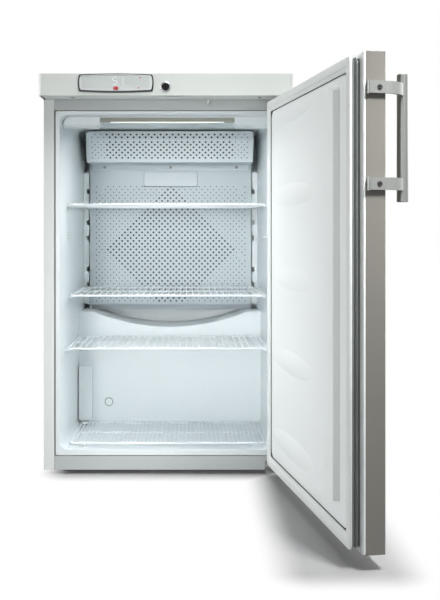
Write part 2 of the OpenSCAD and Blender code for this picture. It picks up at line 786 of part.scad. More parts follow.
module evaporator_tube() color([0.75, 0.76, 0.78]) on_cabinet()
  serpentine(evap_plate_y - 1.5 - evap_tube_r - sleeve, air_z0 + 30, tube_pitch, tube_rows, plate_hw - 36,
    evap_tube_r);

// A tube that runs to and fro across the back, with sleeved bends at its ends
module serpentine(y, z0, pitch, rows, half, r) {
  for (i = [0:rows - 1]) wire([-half - 1, y, z0 + i * pitch], [half + 1, y, z0 + i * pitch], r);
  for (i = [0:rows - 2]) translate([i % 2 == 0 ? half : -half, y, z0 + (i + 0.5) * pitch])
    rotate([90, 0, 0]) rotate([0, 0, i % 2 == 0 ? -90 : 90])
      rotate_extrude(angle = 180) translate([pitch / 2, 0]) circle(r + sleeve);
}

// Fan behind the evaporator cover
fan_z = evap_z0 + 41;
fan_y = duct_y - 40;

module fan_motor() color([0.35, 0.36, 0.38]) on_cabinet() {
  translate([0, 0, fan_z]) {
    along_y(fan_y + 14, cav_back - 30) circle(20);
    along_y(fan_y - 6, fan_y + 14 + eps) circle(2.5);
  }
  both_sides() box([16, cav_back - 34, fan_z - 8], [60, cav_back - 30, fan_z + 8]);
  both_sides() box([56, cav_back - 34 + eps, fan_z - 8], [60, cav_back, fan_z + 8]);
}

module fan_rotor() color([0.82, 0.84, 0.86]) on_cabinet() translate([0, fan_y, fan_z])
  rotate([-90, 0, 0]) difference() {
    union() {
      translate([0, 0, -4]) cylinder(r = 11, h = 14);
      for (i = [0:fan_blades - 1]) rotate([0, 0, i * 360 / fan_blades])
        intersection() {
          translate([8, 0, 3]) rotate([28, 0, 0]) translate([0, -11, -1]) cube([fan_r, 22, 2]);
          translate([0, 0, -4]) cylinder(r = fan_r, h = 14);
        }
    }
    translate([0, 0, -5]) cylinder(r = 2.6, h = 20);
  }

// Places of the shelf supports: height, front y and rear y
support_rows = [
  [shelf_top_z, shelf_front + 8, shelf_front + shelf_d - 18],
  [(shelf_top_z + shelf_middle_z) / 2 + 36, shelf_front + 8, shelf_front + shelf_d - 18],
  [shelf_middle_z, shelf_front + 8, shelf_front + shelf_d - 18],
  [shelf_lower_z, low_shelf_front + 8, low_shelf_front + low_shelf_d - 18]];
hook_w = 10;
shelf_hw = wall_at(shelf_front + shelf_d) - shelf_gap;

// Hooks on the side walls that carry the side wires of the shelves
module shelf_hooks() color(liner_white) on_cabinet() both_sides()
  for (row = support_rows, k = [1, 2])
    let (y = row[k], wall = wall_at(y + hook_w))
      along_y(y, y + hook_w) {
        rect(wall - 1.2, row[0] - 12, wall, row[0] + 6);
        rect(shelf_hw - 8, row[0] - frame_wire_r - run - 3, wall, row[0] - frame_wire_r - run);
      }

// Notched strips between the perforated panel and the side walls
rail_gap = 2.5;
notch_pitch = 42.5;
notch_h = 13;

module notch_rails() color([0.80, 0.84, 0.87]) on_cabinet() both_sides()
  difference() {
    box([air_hw + rail_gap, duct_y + 2, air_z0], [wall_at(duct_y + 10) - 0.2, duct_y + 10, air_z1 - 20]);
    along_y(duct_y + 1, duct_y + 11)
      for (i = [0, 1, 3, 4, 5, 6])
        let (z = air_z0 + 52 + i * notch_pitch)
          rect(air_hw, z - notch_h / 2, (air_hw + rail_gap + wall_at(cav_back)) / 2, z + notch_h / 2);
  }

// White cover of the temperature probe in the lower left corner
probe_w = 34;
probe_h = 141;
probe_d = 28;

module probe_cover() color(liner_white) on_cabinet()
  translate([2.5 - wall_at(low_back), low_back, floor_z + 15]) difference() {
    along_y(-probe_d, 0) round_rect(0, 0, probe_w, probe_h, 3);
    along_y(2 - probe_d, 1) round_rect(2, 2, probe_w - 2, probe_h - 2, 2);
  }

// Round plug of the instrument port
module port_plug() color(liner_white) on_cabinet() translate([port_x, 0, port_z]) difference() {
  union() {
    along_y(low_back - 3, low_back) circle(port_r + 4.2);
    along_y(low_back - eps, low_back + liner_t) circle(port_r - 0.2);
  }
  along_y(low_back - 4, low_back - 1.5) circle(port_r);
}

// Wire frame with round corners, in the plane z
module wire_frame(half, y0, y1, z, corner, r) {
  for (s = [-1, 1]) wire([s * half, y0 + corner, z], [s * half, y1 - corner, z], r);
  for (y = [y0, y1]) wire([-half + corner, y, z], [half - corner, y, z], r);
  bend([half - corner, y1 - corner, z], corner, r, 0);
  bend([-half + corner, y1 - corner, z], corner, r, 90);
  bend([-half + corner, y0 + corner, z], corner, r, 180);
  bend([half - corner, y0 + corner, z], corner, r, 270);
}

// A wire shelf: frame, thin wires laid over it and one cross wire
module wire_shelf(half, y0, y1, z, count) {
  r = frame_wire_r;
  top = z + r + thin_wire_r * 0.4;
  inner = half - r;
  wire_frame(inner, y0 + r, y1 - r, z, 10, r);
  for (i = [0:count - 1])
    let (x = -inner + 11 + i * (2 * inner - 22) / (count - 1))
      wire([x, y0 + 0.6, top], [x, y1 - 0.6, top], thin_wire_r);
  wire([-inner, (y0 + y1) / 2, z], [inner, (y0 + y1) / 2, z], r * 0.8);
}

module shelf_top() color([0.94, 0.96, 0.97]) on_cabinet()
  wire_shelf(shelf_hw, shelf_front, shelf_front + shelf_d, shelf_top_z, shelf_wires);

module shelf_middle() color([0.94, 0.96, 0.97]) on_cabinet()
  wire_shelf(shelf_hw, shelf_front, shelf_front + shelf_d, shelf_middle_z, shelf_wires);

module shelf_lower() color([0.94, 0.96, 0.97]) on_cabinet()
  wire_shelf(shelf_hw, low_shelf_front, low_shelf_front + low_shelf_d, shelf_lower_z, shelf_wires);

// Rack that keeps goods off the floor, on four short legs
module floor_rack() color([0.94, 0.96, 0.97]) on_cabinet() {
  z = floor_z + 8;
  y0 = low_shelf_front + 9;
  y1 = low_shelf_front + low_shelf_d;
  rack_hw = wall_at(y1) - rack_gap;
  wire_shelf(rack_hw, y0, y1, z, rack_wires);
  for (x = [-1, 1], y = [y0 + frame_wire_r, y1 - frame_wire_r])
    translate([x * (rack_hw - 34), y, floor_z + run]) cylinder(r = frame_wire_r * 0.9, h = z - floor_z - run);
}

// Hermetic compressor in the niche
comp_y = (niche_front + body_d) / 2 + 6;
comp_x = hw - 158;
comp_z = base_top + 16;

module compressor() color(dark) on_cabinet() translate([comp_x, comp_y, comp_z]) {
  rotate_extrude($fn = 64) {
    rect(0, 0, compressor_r - 20, compressor_h);
    rect(0, 20, compressor_r, compressor_h - 30);
    intersection() {
      rect(0, 0, compressor_r, 21);
      translate([compressor_r - 20, 20]) circle(20);
    }
    intersection() {
      rect(0, compressor_h - 31, compressor_r, compressor_h);
      translate([compressor_r - 30, compressor_h - 30]) circle(30);
    }
    rect(compressor_r - 12, compressor_h / 2 - 2, compressor_r + 2, compressor_h / 2 + 2);
  }
  translate([-mount_x - 12, -mount_y - 9, 0]) cube([2 * mount_x + 24, 2 * mount_y + 18, 3]);
  translate([-compressor_r - 18, -22, 50]) cube([24, 44, 56]);
}

mount_x = 70;
mount_y = 42;

module compressor_mounts() color([0.08, 0.08, 0.08]) on_cabinet()
  for (x = [-1, 1], y = [-1, 1]) translate([comp_x + x * mount_x, comp_y + y * mount_y, base_top])
    cylinder(r = 8, h = comp_z - base_top);

// Wire and tube condenser on the back
cond_z0 = niche_top + 40;
cond_pitch = (body_h - cond_z0 - 40) / (cond_passes - 1);
cond_half = hw - 88;

module condenser_coil() color([0.10, 0.10, 0.11]) on_cabinet() {
  serpentine(cond_y, cond_z0, cond_pitch, cond_passes, cond_half, cond_tube_r);
  wire_y = cond_y + cond_tube_r + sleeve + cond_wire_r + 0.02;
  for (i = [0:16])
    let (x = 6 - cond_half + i * (2 * cond_half - 12) / 16)
      wire([x, wire_y, cond_z0 - 12], [x, wire_y, body_h - 28], cond_wire_r);
}

module condenser_brackets() color([0.10, 0.10, 0.11]) on_cabinet() both_sides()
  for (z = [cond_z0 + cond_pitch, cond_z0 + (cond_passes - 2) * cond_pitch])
    box([cond_half + 14, body_d - sheet_t, z - 15], [cond_half + 22, cond_y - cond_tube_r - sleeve, z + 15]);

tray_h = 50;
tray_wall = 3;

// Tray on the compressor niche floor that dries the defrost water
module evaporation_tray() color([0.20, 0.20, 0.21]) on_cabinet() difference() {
  tray_x0 = 58 - hw;
  tray_x1 = comp_x - compressor_r - 44;
  box([tray_x0, niche_front + 14, base_top], [tray_x1, body_d - 14, base_top + tray_h]);
  box([tray_x0 + tray_wall, niche_front + 14 + tray_wall, base_top + tray_wall],
    [tray_x1 - tray_wall, body_d - 14 - tray_wall, base_top + tray_h + 1]);
}

// Levelling foot with a flange and a thread through the base
module front_foot() {
  translate([foot_x, foot_y, 0]) {
    cylinder(r = 15, h = 5);
    translate([0, 0, 5 - eps]) cylinder(r1 = 15, r2 = 9, h = foot_h - 5 - run);
    cylinder(r = foot_thread_r, h = base_top - run);
  }
}

module front_foot_left() color(dark) on_cabinet() mirror([1, 0, 0]) front_foot();

module front_foot_right() color(dark) on_cabinet() front_foot();

module rear_feet() color(dark) on_cabinet() both_sides()
  translate([foot_x, body_d - 45, 0]) cylinder(r = 14, h = foot_h);

// Lower hinge: plate bolted under the base, with its pin
hinge_plate_t = 5;
hinge_plate_z = foot_h + 2;
pin_in = cap_h - 4;

module hinge_bracket_lower() color(satin) on_cabinet() {
  along_z(hinge_plate_z, hinge_plate_z + hinge_plate_t) {
    rect(hw - 56, -34, hw, 0);
    rect(hinge_x - 14, hinge_y, hinge_x + 13, -30);
    translate([hinge_x, hinge_y]) circle(13);
  }
  box([hw - 56, -hinge_plate_t, hinge_plate_z], [hw - 24, 0, door_bottom + gasket_in - 3]);
  translate([hinge_x, hinge_y, hinge_plate_z]) cylinder(r = hinge_pin_r, h = door_bottom + pin_in - hinge_plate_z);
}

// Upper hinge: plate inside the fascia with its pin hanging down
module hinge_bracket_upper() color(satin) on_cabinet() {
  box([hinge_x - 40, hinge_y - 9, body_h + cover_t], [hinge_x + 10, -1, body_h + cover_t + 4]);
  translate([hinge_x, hinge_y, door_top - pin_in])
    cylinder(r = hinge_pin_r, h = body_h + cover_t + 1 - door_top + pin_in);
}

// Switch lever that hangs through the fascia base
module door_switch() color(cabinet_white) on_cabinet() translate([switch_x, switch_y, 0]) {
  along_x(-switch_w / 2, switch_w / 2) {
    translate([0, lever_pivot_z]) circle(4);
    rect(-4, body_h - 11, 4, lever_pivot_z);
  }
  translate([-8, 0, lever_pivot_z]) rotate([0, 90, 0]) cylinder(r = switch_pin_r, h = 16);
}

// Inlet for the supply lead on the compressor niche
module power_inlet() color(dark) on_cabinet() difference() {
  translate([-hw + 60, niche_front + sheet_t, 160]) cube([32, 24, 26]);
  translate([-hw + 64, niche_front + sheet_t + 10, 164]) cube([24, 15, 18]);
}

// The space inside the door pan, drawn in X and Y
module pan_inside() intersection() {
  round_rect(-door_hw + sheet_t, pan_front + sheet_t, door_hw - sheet_t, pan_back + 9, 3);
  rect(-door_hw, pan_front, door_hw, pan_back);
}

// Steel pan of the door, folded in at both sides
module door_skin() color(door_steel) on_door() along_z(door_bottom, door_top) difference() {
  round_rect(-door_hw, pan_front, door_hw, pan_back + 10, 4);
  round_rect(-door_hw + sheet_t, pan_front + sheet_t, door_hw - sheet_t, pan_back + 9, 3);
  rect(-door_hw - 1, pan_back, door_hw + 1, pan_back + 12);
}

// Foam core of the door, which fills the inner panel
module door_foam() color([0.87, 0.80, 0.60]) on_door() {
  along_z(door_bottom + cap_h, door_top - cap_h) pan_inside();
  box([-pocket_hw, pan_back - eps, pillow_z0 + 10], [pocket_hw, pocket_y, pillow_z1 - 10]);
}

pocket_hw = door_hw - pillow_latch_in - 8;
pocket_y = plateau_y - 3;
plateau_in = gasket_in + gasket_w + 1;
latch_x = -door_hw + pillow_latch_in;
field_hinge_x = door_hw - 42;

// White inner panel of the door with its raised field, rim and ribs
module door_liner() color([0.90, 0.90, 0.89]) on_door() difference() {
  union() {
    along_y(pan_back, trim_front) round_rect(-door_hw, door_bottom, door_hw, door_top, 4);
    along_y(trim_front - eps, plateau_y)
      round_rect(-door_hw + plateau_in, door_bottom + plateau_in, door_hw - plateau_in, door_top - plateau_in, 16);
    intersection() {
      along_z(pillow_z0 - 30, pillow_z1) pillow_profile();
      along_y(plateau_y - 1, plateau_y + pillow_rim + 1) pillow_outline();
    }
    for (i = [-2:2]) leaf_rib(door_mid_z + 21 + i * leaf_pitch);
  }
  box([-pocket_hw, pan_back - 1, pillow_z0 + 10], [pocket_hw, pocket_y, pillow_z1 - 10]);
}

// Cross section of the raised field in X and Y
module pillow_profile() polygon([
  [latch_x, plateau_y - 1], [latch_x + 1, plateau_y + pillow_rim - 1.5], [latch_x + 3, plateau_y + pillow_rim],
  [latch_x + 30, plateau_y + pillow_rim], [latch_x + 46, plateau_y + pillow_rim * 0.8],
  [latch_x + 62, plateau_y + pillow_field],
  [field_hinge_x - 34, plateau_y + pillow_field], [field_hinge_x - 12, plateau_y + pillow_field * 0.6],
  [field_hinge_x, plateau_y - 1]]);

// Front outline of the raised field, its lower edge an arc that rises to the latch side
module pillow_outline() {
  x0 = latch_x - 1;
  x1 = field_hinge_x + 1;
  corner = 14;
  middle = [pillow_low_x, pillow_z0 + pillow_arc_r];
  polygon(concat(
    arc(middle, pillow_arc_r, 270 + asin((x0 - pillow_low_x) / pillow_arc_r),
        270 + asin((x1 - pillow_low_x) / pillow_arc_r), 16),
    arc([x1 - corner, pillow_z1 - corner], corner, 0, 90, 6),
    arc([x0 + corner, pillow_z1 - corner], corner, 90, 180, 6)));
}

pillow_low_x = 110;
pillow_arc_r = 2300;

// A leaf shaped rib: the cap of a barrel that lies along X
module leaf_rib(z) {
  side_r = (pow(leaf_w / 2, 2) + pow(leaf_out, 2)) / (2 * leaf_out);
  long_r = (pow(leaf_l / 2, 2) + pow(leaf_out, 2)) / (2 * leaf_out);
  field_y = plateau_y + pillow_field;
  x = field_hinge_x - 20 - leaf_l / 2;
  intersection() {
    translate([x, field_y + leaf_out - side_r, z]) rotate([0, 90, 0]) rotate_extrude($fn = 128)
      intersection() {
        translate([side_r - long_r, 0]) circle(long_r, $fn = 512);
        rect(0, -leaf_l / 2, side_r + 1, leaf_l / 2);
      }
    box([x - leaf_l, field_y - 0.5, z - leaf_w],
      [x + leaf_l, field_y + leaf_out + 1, min(z + leaf_w, pillow_z1 - 3)]);
  }
}

// Rubber gasket, built up from its lips and grooves: depth and inset of each layer
gasket_steps = [[0, 0.12, 0.5], [0.12, 0.26, 3], [0.26, 0.62, 0.6], [0.62, 0.80, 3.4], [0.80, 1, 0]];

module door_gasket() color([0.80, 0.81, 0.80]) on_door() {
  depth = seal_face - trim_front;
  for (s = gasket_steps)
    along_y(trim_front + depth * s[0], trim_front + depth * s[1]) difference() {
      gasket_outline(gasket_in + s[2]);
      gasket_outline(gasket_in + gasket_w - s[2] * 0.5);
    }
}

module gasket_outline(d) rect(-door_hw + d, door_bottom + d, door_hw - d, door_top - d);

// Caps that close the ends of the pan; the upper one takes the lock cam
module door_top_cap() color(cabinet_white) on_door() difference() {
  along_z(door_top - cap_h, door_top) pan_inside();
  along_z(door_top - cap_h + 3, door_top + 1) {
    translate([lock_x, cam_y + cam_t / 2]) square([16, 9], center = true);
    translate([hinge_x, hinge_y]) circle(hinge_pin_r + bush_wall);
  }
}

module door_bottom_cap() color(cabinet_white) on_door() difference() {
  along_z(door_bottom, door_bottom + cap_h) pan_inside();
  along_z(door_bottom - 1, door_bottom + cap_h - 3)
    translate([hinge_x, hinge_y]) circle(hinge_pin_r + bush_wall);
}

// Plastic bushes that turn on the hinge pins
module hinge_bushes() color([0.92, 0.92, 0.90]) on_door() {
  for (z = [door_top - cap_h + 3, door_bottom]) along_z(z, z + cap_h - 3) difference() {
    translate([hinge_x, hinge_y]) circle(hinge_pin_r + bush_wall);
    translate([hinge_x, hinge_y]) circle(hinge_pin_r + 0.15);
  }
}

// Handle tube with its closed ends
module handle_tube() color(satin) on_door() translate([tube_x, tube_y, handle_z - handle_l / 2]) {
  translate([0, 0, 1]) cylinder(r = handle_r, h = handle_l - 2);
  cylinder(r1 = handle_r - 1, r2 = handle_r, h = 1 + eps);
  translate([0, 0, handle_l - 1 - eps]) cylinder(r1 = handle_r, r2 = handle_r - 1, h = 1 + eps);
}

// Curved brackets from the latch edge of the door to the tube
module handle_brackets() color(satin) on_door()
  for (s = [-1, 1]) let (z = handle_z + s * handle_pitch / 2)
    difference() {
      along_z(z - bracket_h / 2, z + bracket_h / 2) bracket_outline();
      translate([-door_hw - bracket_t - 1, screw_y, z]) rotate([0, 90, 0]) cylinder(r = 2.6, h = bracket_t + 2);
    }

screw_y = pan_back - 22;

// Outline of a bracket: a strap on the door's edge and an arc that ends on the tube
module bracket_outline() {
  middle = [tube_x, tube_y + seat_l];
  inner = handle_in;
  outer = handle_in + bracket_t;
  inner_a = 270 - seat_angle(inner);
  outer_a = 270 - seat_angle(outer);
  inner_end = middle + inner * [cos(inner_a), sin(inner_a)] - [tube_x, tube_y];
  outer_end = middle + outer * [cos(outer_a), sin(outer_a)] - [tube_x, tube_y];
  from = atan2(inner_end[1], inner_end[0]);
  to = atan2(outer_end[1], outer_end[0]);
  polygon(concat(
    [[-door_hw - bracket_t, strap_end_y], [-door_hw, strap_end_y]],
    arc(middle, inner, 180, inner_a, 16),
    [for (i = [1:4]) arc([tube_x, tube_y], seat_r, from, to < from ? to + 360 : to, 4)[i]],
    [for (i = [1:16]) arc(middle, outer, outer_a, 180, 16)[i]]));
}

seat_r = handle_r + 0.02;
seat_l = handle_in + bracket_t / 2 + 5;

// Angle between the bracket's end and the tube, seen from the middle of the bracket's arc
function seat_angle(r) = acos((r * r + seat_l * seat_l - seat_r * seat_r) / (2 * r * seat_l));

// Black screws of the handle brackets
module handle_screws() color(dark) on_door()
  for (s = [-1, 1]) translate([-door_hw, screw_y, handle_z + s * handle_pitch / 2]) rotate([0, -90, 0]) {
    cylinder(r = 2.5, h = bracket_t);
    translate([0, 0, bracket_t]) difference() {
      cylinder(r1 = 4.4, r2 = 3.4, h = 1.8);
      translate([0, 0, 0.6]) cylinder(r = 1.9, h = 2, $fn = 6);
    }
  }

left_side_panel();
right_side_panel();
top_rail();
bottom_rail();
base_pan();
back_panel();
foam_insulation();
niche_cover();
inner_liner();
breaker_strip();
top_cover();
fascia_base();
display_bezel();
display_panel();
alarm_button();
indicator_lamps();
lock_barrel();
lock_core();
lock_cam();
lamp_housing();
lamp_strip();
evaporator_cover();
air_panel();
panel_screws();
sensor_cover();
drip_gutter();
evaporator_plate();
evaporator_tube();
fan_motor();
fan_rotor();
shelf_hooks();
notch_rails();
probe_cover();
port_plug();
shelf_top();
shelf_middle();
shelf_lower();
floor_rack();
compressor();
compressor_mounts();
condenser_coil();
condenser_brackets();
evaporation_tray();
front_foot_left();
front_foot_right();
rear_feet();
hinge_bracket_lower();
hinge_bracket_upper();
door_switch();
power_inlet();
door_skin();
door_foam();
door_liner();
door_gasket();
door_top_cap();
door_bottom_cap();
handle_tube();
handle_brackets();
handle_screws();
hinge_bushes();
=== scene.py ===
"""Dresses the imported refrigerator: finishes, small pieces, floor, light and camera."""
import math

import bmesh
import bpy
from mathutils import Matrix, Vector


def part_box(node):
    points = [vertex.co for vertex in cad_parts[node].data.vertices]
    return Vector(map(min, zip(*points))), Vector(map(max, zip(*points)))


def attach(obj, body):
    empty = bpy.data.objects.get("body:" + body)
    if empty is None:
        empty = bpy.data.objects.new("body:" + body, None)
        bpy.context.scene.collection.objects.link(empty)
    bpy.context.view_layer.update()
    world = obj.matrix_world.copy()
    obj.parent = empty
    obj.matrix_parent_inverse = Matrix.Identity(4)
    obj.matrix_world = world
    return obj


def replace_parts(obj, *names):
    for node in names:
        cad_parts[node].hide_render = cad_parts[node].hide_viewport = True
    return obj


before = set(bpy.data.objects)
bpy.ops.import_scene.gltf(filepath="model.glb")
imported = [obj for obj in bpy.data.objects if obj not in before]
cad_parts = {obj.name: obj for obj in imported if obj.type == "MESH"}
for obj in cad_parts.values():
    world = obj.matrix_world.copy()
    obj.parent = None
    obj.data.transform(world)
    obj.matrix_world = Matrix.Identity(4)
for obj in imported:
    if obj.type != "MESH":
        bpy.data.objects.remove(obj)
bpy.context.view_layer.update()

MM = 0.001

# Where the cabinet stands in the part's frame: its middle, its front plane and its hinge
cover_lo, cover_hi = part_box("top_cover")
MID_X = (cover_lo.x + cover_hi.x) / 2
FRONT_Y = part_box("left_side_panel")[0].y
DOOR_ANGLE = math.radians(99.3)
HINGE = Vector((265 * MM, -43 * MM, 0))


def cab(x, y, z):
    """A point of the cabinet, in millimetres from its middle, front plane and floor, in the part's frame."""
    return Vector((MID_X + x * MM, FRONT_Y + y * MM, z * MM))


def in_cabinet(corners):
    """Points of the part's frame in the cabinet's millimetres, the other way round from cab."""
    return [Vector(((p.x - MID_X) / MM, (p.y - FRONT_Y) / MM, p.z / MM)) for p in corners]


def door(x, y, z):
    """A point of the door, given as it stands when closed, in the part's frame with the door open."""
    point = Vector((x * MM, y * MM, z * MM)) - HINGE
    point = Matrix.Rotation(DOOR_ANGLE, 3, "Z") @ point + HINGE
    return Vector((MID_X, FRONT_Y, 0)) + point


def tone(red, green, blue):
    """A colour written as it shows on a screen, 0 to 255, in the linear values that shaders take."""
    def linear(value):
        value /= 255
        return value / 12.92 if value <= 0.04045 else ((value + 0.055) / 1.055) ** 2.4
    return (linear(red), linear(green), linear(blue), 1.0)


# Finishes

MATERIALS = {}


class Finish:
    """A Principled material whose colour, roughness and relief come from noise in metres.

    Its colour is given as for tone, and done() keeps the material in MATERIALS under its name.
    """

    def __init__(self, name, color, rough, metallic=0.0, specular=0.5):
        self.name = name
        self.mat = bpy.data.materials.new(name)
        self.mat.use_nodes = True
        self.tree = self.mat.node_tree
        self.shader = self.tree.nodes["Principled BSDF"]
        self.shader.inputs["Metallic"].default_value = metallic
        self.shader.inputs["Specular IOR Level"].default_value = specular
        self.color = tone(*color)
        self.mat.diffuse_color = self.color
        self.rough = rough
        self.coordinate = self.tree.nodes.new("ShaderNodeTexCoord")
        self.normal_out = None

    def link(self, source, target):
        self.tree.links.new(source, target)

    def noise(self, scale, detail, stretch):
        """Noise of that many cells a metre, drawn out along an axis by a smaller stretch."""
        place = self.tree.nodes.new("ShaderNodeMapping")
        place.inputs["Scale"].default_value = stretch
        self.link(self.coordinate.outputs["Object"], place.inputs["Vector"])
        texture = self.tree.nodes.new("ShaderNodeTexNoise")
        texture.inputs["Scale"].default_value = scale
        texture.inputs["Detail"].default_value = detail
        self.link(place.outputs["Vector"], texture.inputs["Vector"])
        return texture.outputs["Fac"]

    def spread(self, source, low, high):
        """Noise stretched out so that it runs between two values."""
        node = self.tree.nodes.new("ShaderNodeMapRange")
        node.inputs["From Min"].default_value = 0.3
        node.inputs["From Max"].default_value = 0.7
        node.inputs["To Min"].default_value = low
        node.inputs["To Max"].default_value = high
        self.link(source, node.inputs["Value"])
        return node.outputs["Result"]

    def mottle(self, amount, scale, stretch=(1, 1, 1)):
        """Cloudy change of tone, darker by amount at most."""
        node = self.tree.nodes.new("ShaderNodeMix")
        node.data_type = "RGBA"
        share, first, second = node.inputs[0], node.inputs[6], node.inputs[7]
        first.default_value = self.color
        second.default_value = tuple(c * (1 - amount) for c in self.color[:3]) + (1.0,)
        self.link(self.spread(self.noise(scale, 4.0, stretch), 0.0, 1.0), share)
        self.link(node.outputs[2], self.shader.inputs["Base Color"])
        return self

    def relief(self, scale, depth, strength, stretch=(1, 1, 1)):
        """A grain of that many cells a metre and that depth in metres."""
        node = self.tree.nodes.new("ShaderNodeBump")
        node.inputs["Strength"].default_value = strength
        node.inputs["Distance"].default_value = depth
        self.link(self.noise(scale, 3.0, stretch), node.inputs["Height"])
        if self.normal_out is not None:
            self.link(self.normal_out, node.inputs["Normal"])
        self.normal_out = node.outputs["Normal"]
        return self

    def soft_edges(self, radius):
        """Rounds the look of sharp edges by a radius in metres."""
        node = self.tree.nodes.new("ShaderNodeBevel")
        node.samples = 4
        node.inputs["Radius"].default_value = radius
        self.normal_out = node.outputs["Normal"]
        return self

    def done(self, swing, scale, stretch=(1, 1, 1)):
        """Wires up the relief and a roughness that wanders by swing, and keeps the material."""
        patch = self.noise(scale, 3.0, stretch)
        rough = self.spread(patch, max(self.rough - swing, 0.02), min(self.rough + swing, 1.0))
        self.link(rough, self.shader.inputs["Roughness"])
        self.link(self.normal_out, self.shader.inputs["Normal"])
        MATERIALS[self.name] = self.mat


def powder_coat(name, color, rough=0.42, edge=0.0006):
    """Coated steel sheet: a fine peel in the coat, a trace of uneven tone."""
    finish = Finish(name, color, rough).soft_edges(edge).mottle(0.025, 4.0)
    finish.relief(700, 0.000008, 0.3).relief(2600, 0.000003, 0.3).done(0.03, 60)


def moulded(name, color, rough=0.36, edge=0.0005, depth=0.000004, specular=0.5):
    """Moulded plastic: a faint flow in tone, a soft satin skin."""
    finish = Finish(name, color, rough, specular=specular).soft_edges(edge).mottle(0.02, 4.0, (1, 1, 0.4))
    finish.relief(900, depth, 0.3).done(0.02, 25)


def metal(name, color, rough, stretch=(1, 1, 1), depth=0.00001, metallic=1.0):
    """Bare metal with the fine lines of rolling or brushing along the axis with the small stretch."""
    finish = Finish(name, color, rough, metallic).mottle(0.10, 30, stretch)
    finish.relief(700, depth, 0.4, stretch).done(0.06, 220, stretch)


def rubber(name, color, rough):
    finish = Finish(name, color, rough, specular=0.3).mottle(0.05, 12)
    finish.relief(1800, 0.000012, 0.4).done(0.05, 60)


def glowing(name, color, strength):
    """A lit surface: it shows its own light, a little uneven along its length."""
    finish = Finish(name, color, 0.5).mottle(0.08, 60).relief(900, 0.000004, 0.3)
    finish.shader.inputs["Emission Color"].default_value = finish.color
    finish.shader.inputs["Emission Strength"].default_value = strength
    finish.done(0.05, 60)


# Coated sheet, and the coated wire of shelves and rack
powder_coat("cabinet_coat", (226, 231, 229))
# Rails: the cabinet's pale coat darkened grey as painted shade, for the shade they sit in
powder_coat("rail_shaded_coat", (184, 189, 189))
powder_coat("back_coat", (186, 190, 190))
powder_coat("sheet_coat", (194, 204, 208), 0.40, 0.0003)
powder_coat("plate_coat", (202, 210, 214), 0.40, 0.0003)
powder_coat("hood_coat", (218, 226, 229), 0.40, 0.0003)
Finish("wire_coat", (236, 241, 244), 0.32).mottle(0.03, 14).relief(1400, 0.000006, 0.4).done(0.03, 60)

# Plastics
moulded("cover_plastic", (230, 235, 231))
moulded("liner_plastic", (228, 235, 237), 0.30, 0.0008)
# The gutter's grey is painted shade on the liner's white plastic
moulded("gutter_shaded_plastic", (168, 178, 184), 0.4, 0.0003)
moulded("panel_plastic", (232, 236, 235), 0.55, 0.0010, specular=0.3)
moulded("dark_plastic", (44, 45, 46), 0.45, 0.0003, 0.00001)
# Near-black bezel plastic, also carrying painted shadow round the display
moulded("bezel_plastic", (34, 37, 38), 0.30, 0.0003)
moulded("display_plastic", (232, 236, 235), 0.22, 0.0004)
moulded("display_film", (212, 219, 217), 0.30, 0.0002)
moulded("red_plastic", (196, 26, 40), 0.28, 0.0003)
# Grey of the breaker strip, kept dark as painted shade in its groove; also the painted shadow round the
# sensor cover and in the port's groove
moulded("seam_and_shade_grey", (138, 143, 144), 0.5, 0.0002)
# Near-black painted shade for the sheets behind the perforated panels
moulded("duct_shade_sheet", (8, 9, 10), 0.8, 0.0002, specular=0.1)
moulded("bearing_plastic", (226, 226, 220), 0.4, 0.0002)
moulded("lamp_board", (150, 153, 142), 0.45, 0.0003)
lock_black = Finish("lock_plastic", (14, 15, 16), 0.25, specular=0.2).soft_edges(0.0003)
lock_black.mottle(0.1, 40).relief(900, 0.00001, 0.3).done(0.03, 60)

# Metals
metal("chrome", (188, 191, 193), 0.12, depth=0.000004)
metal("zinc", (158, 160, 160), 0.36)
metal("copper", (196, 124, 84), 0.30, depth=0.000006)
# The evaporator's dark grey is painted shade: its bare metal darkened so that it reads dark through the holes
metal("evaporator_metal", (70, 75, 79), 0.5, (0.05, 1, 1), metallic=0.4)
metal("satin_steel", (150, 152, 149), 0.36, (1, 1, 0.03))
metal("bracket_steel", (134, 136, 134), 0.5, (1, 1, 0.06), metallic=0.5)
# The lips' lighter steel is a painted highlight: the bracket's steel, lit where its end faces the light
metal("lip_lit_steel", (158, 161, 159), 0.4, (1, 1, 0.06), metallic=0.6)
door_steel = Finish("door_steel", (121, 119, 113), 0.5, 0.12, 0.35).soft_edges(0.0008).mottle(0.05, 6)
door_steel.relief(1400, 0.000008, 0.35, (1, 1, 0.05)).done(0.04, 120)
black_enamel = Finish("black_enamel", (38, 38, 40), 0.34).mottle(0.2, 18)
black_enamel.relief(520, 0.00003, 0.4).done(0.07, 50)

# Rubbers, foam and lit surfaces
rubber("black_rubber", (40, 40, 41), 0.62)
rubber("seal_rubber", (219, 223, 221), 0.55)
# Greys of painted shade on the white gasket: the groove by the liner and the folds
rubber("seal_groove_shade", (88, 91, 90), 0.7)
rubber("seal_fold_shade", (118, 122, 121), 0.7)
Finish("foam", (216, 204, 170), 0.9).mottle(0.12, 40).relief(420, 0.0006, 0.7).done(0.05, 60)
glowing("digit_glow", (238, 243, 241), 0.12)
glowing("lamp_white", (255, 255, 252), 0.9)
glowing("lamp_warm", (255, 214, 186), 0.9)

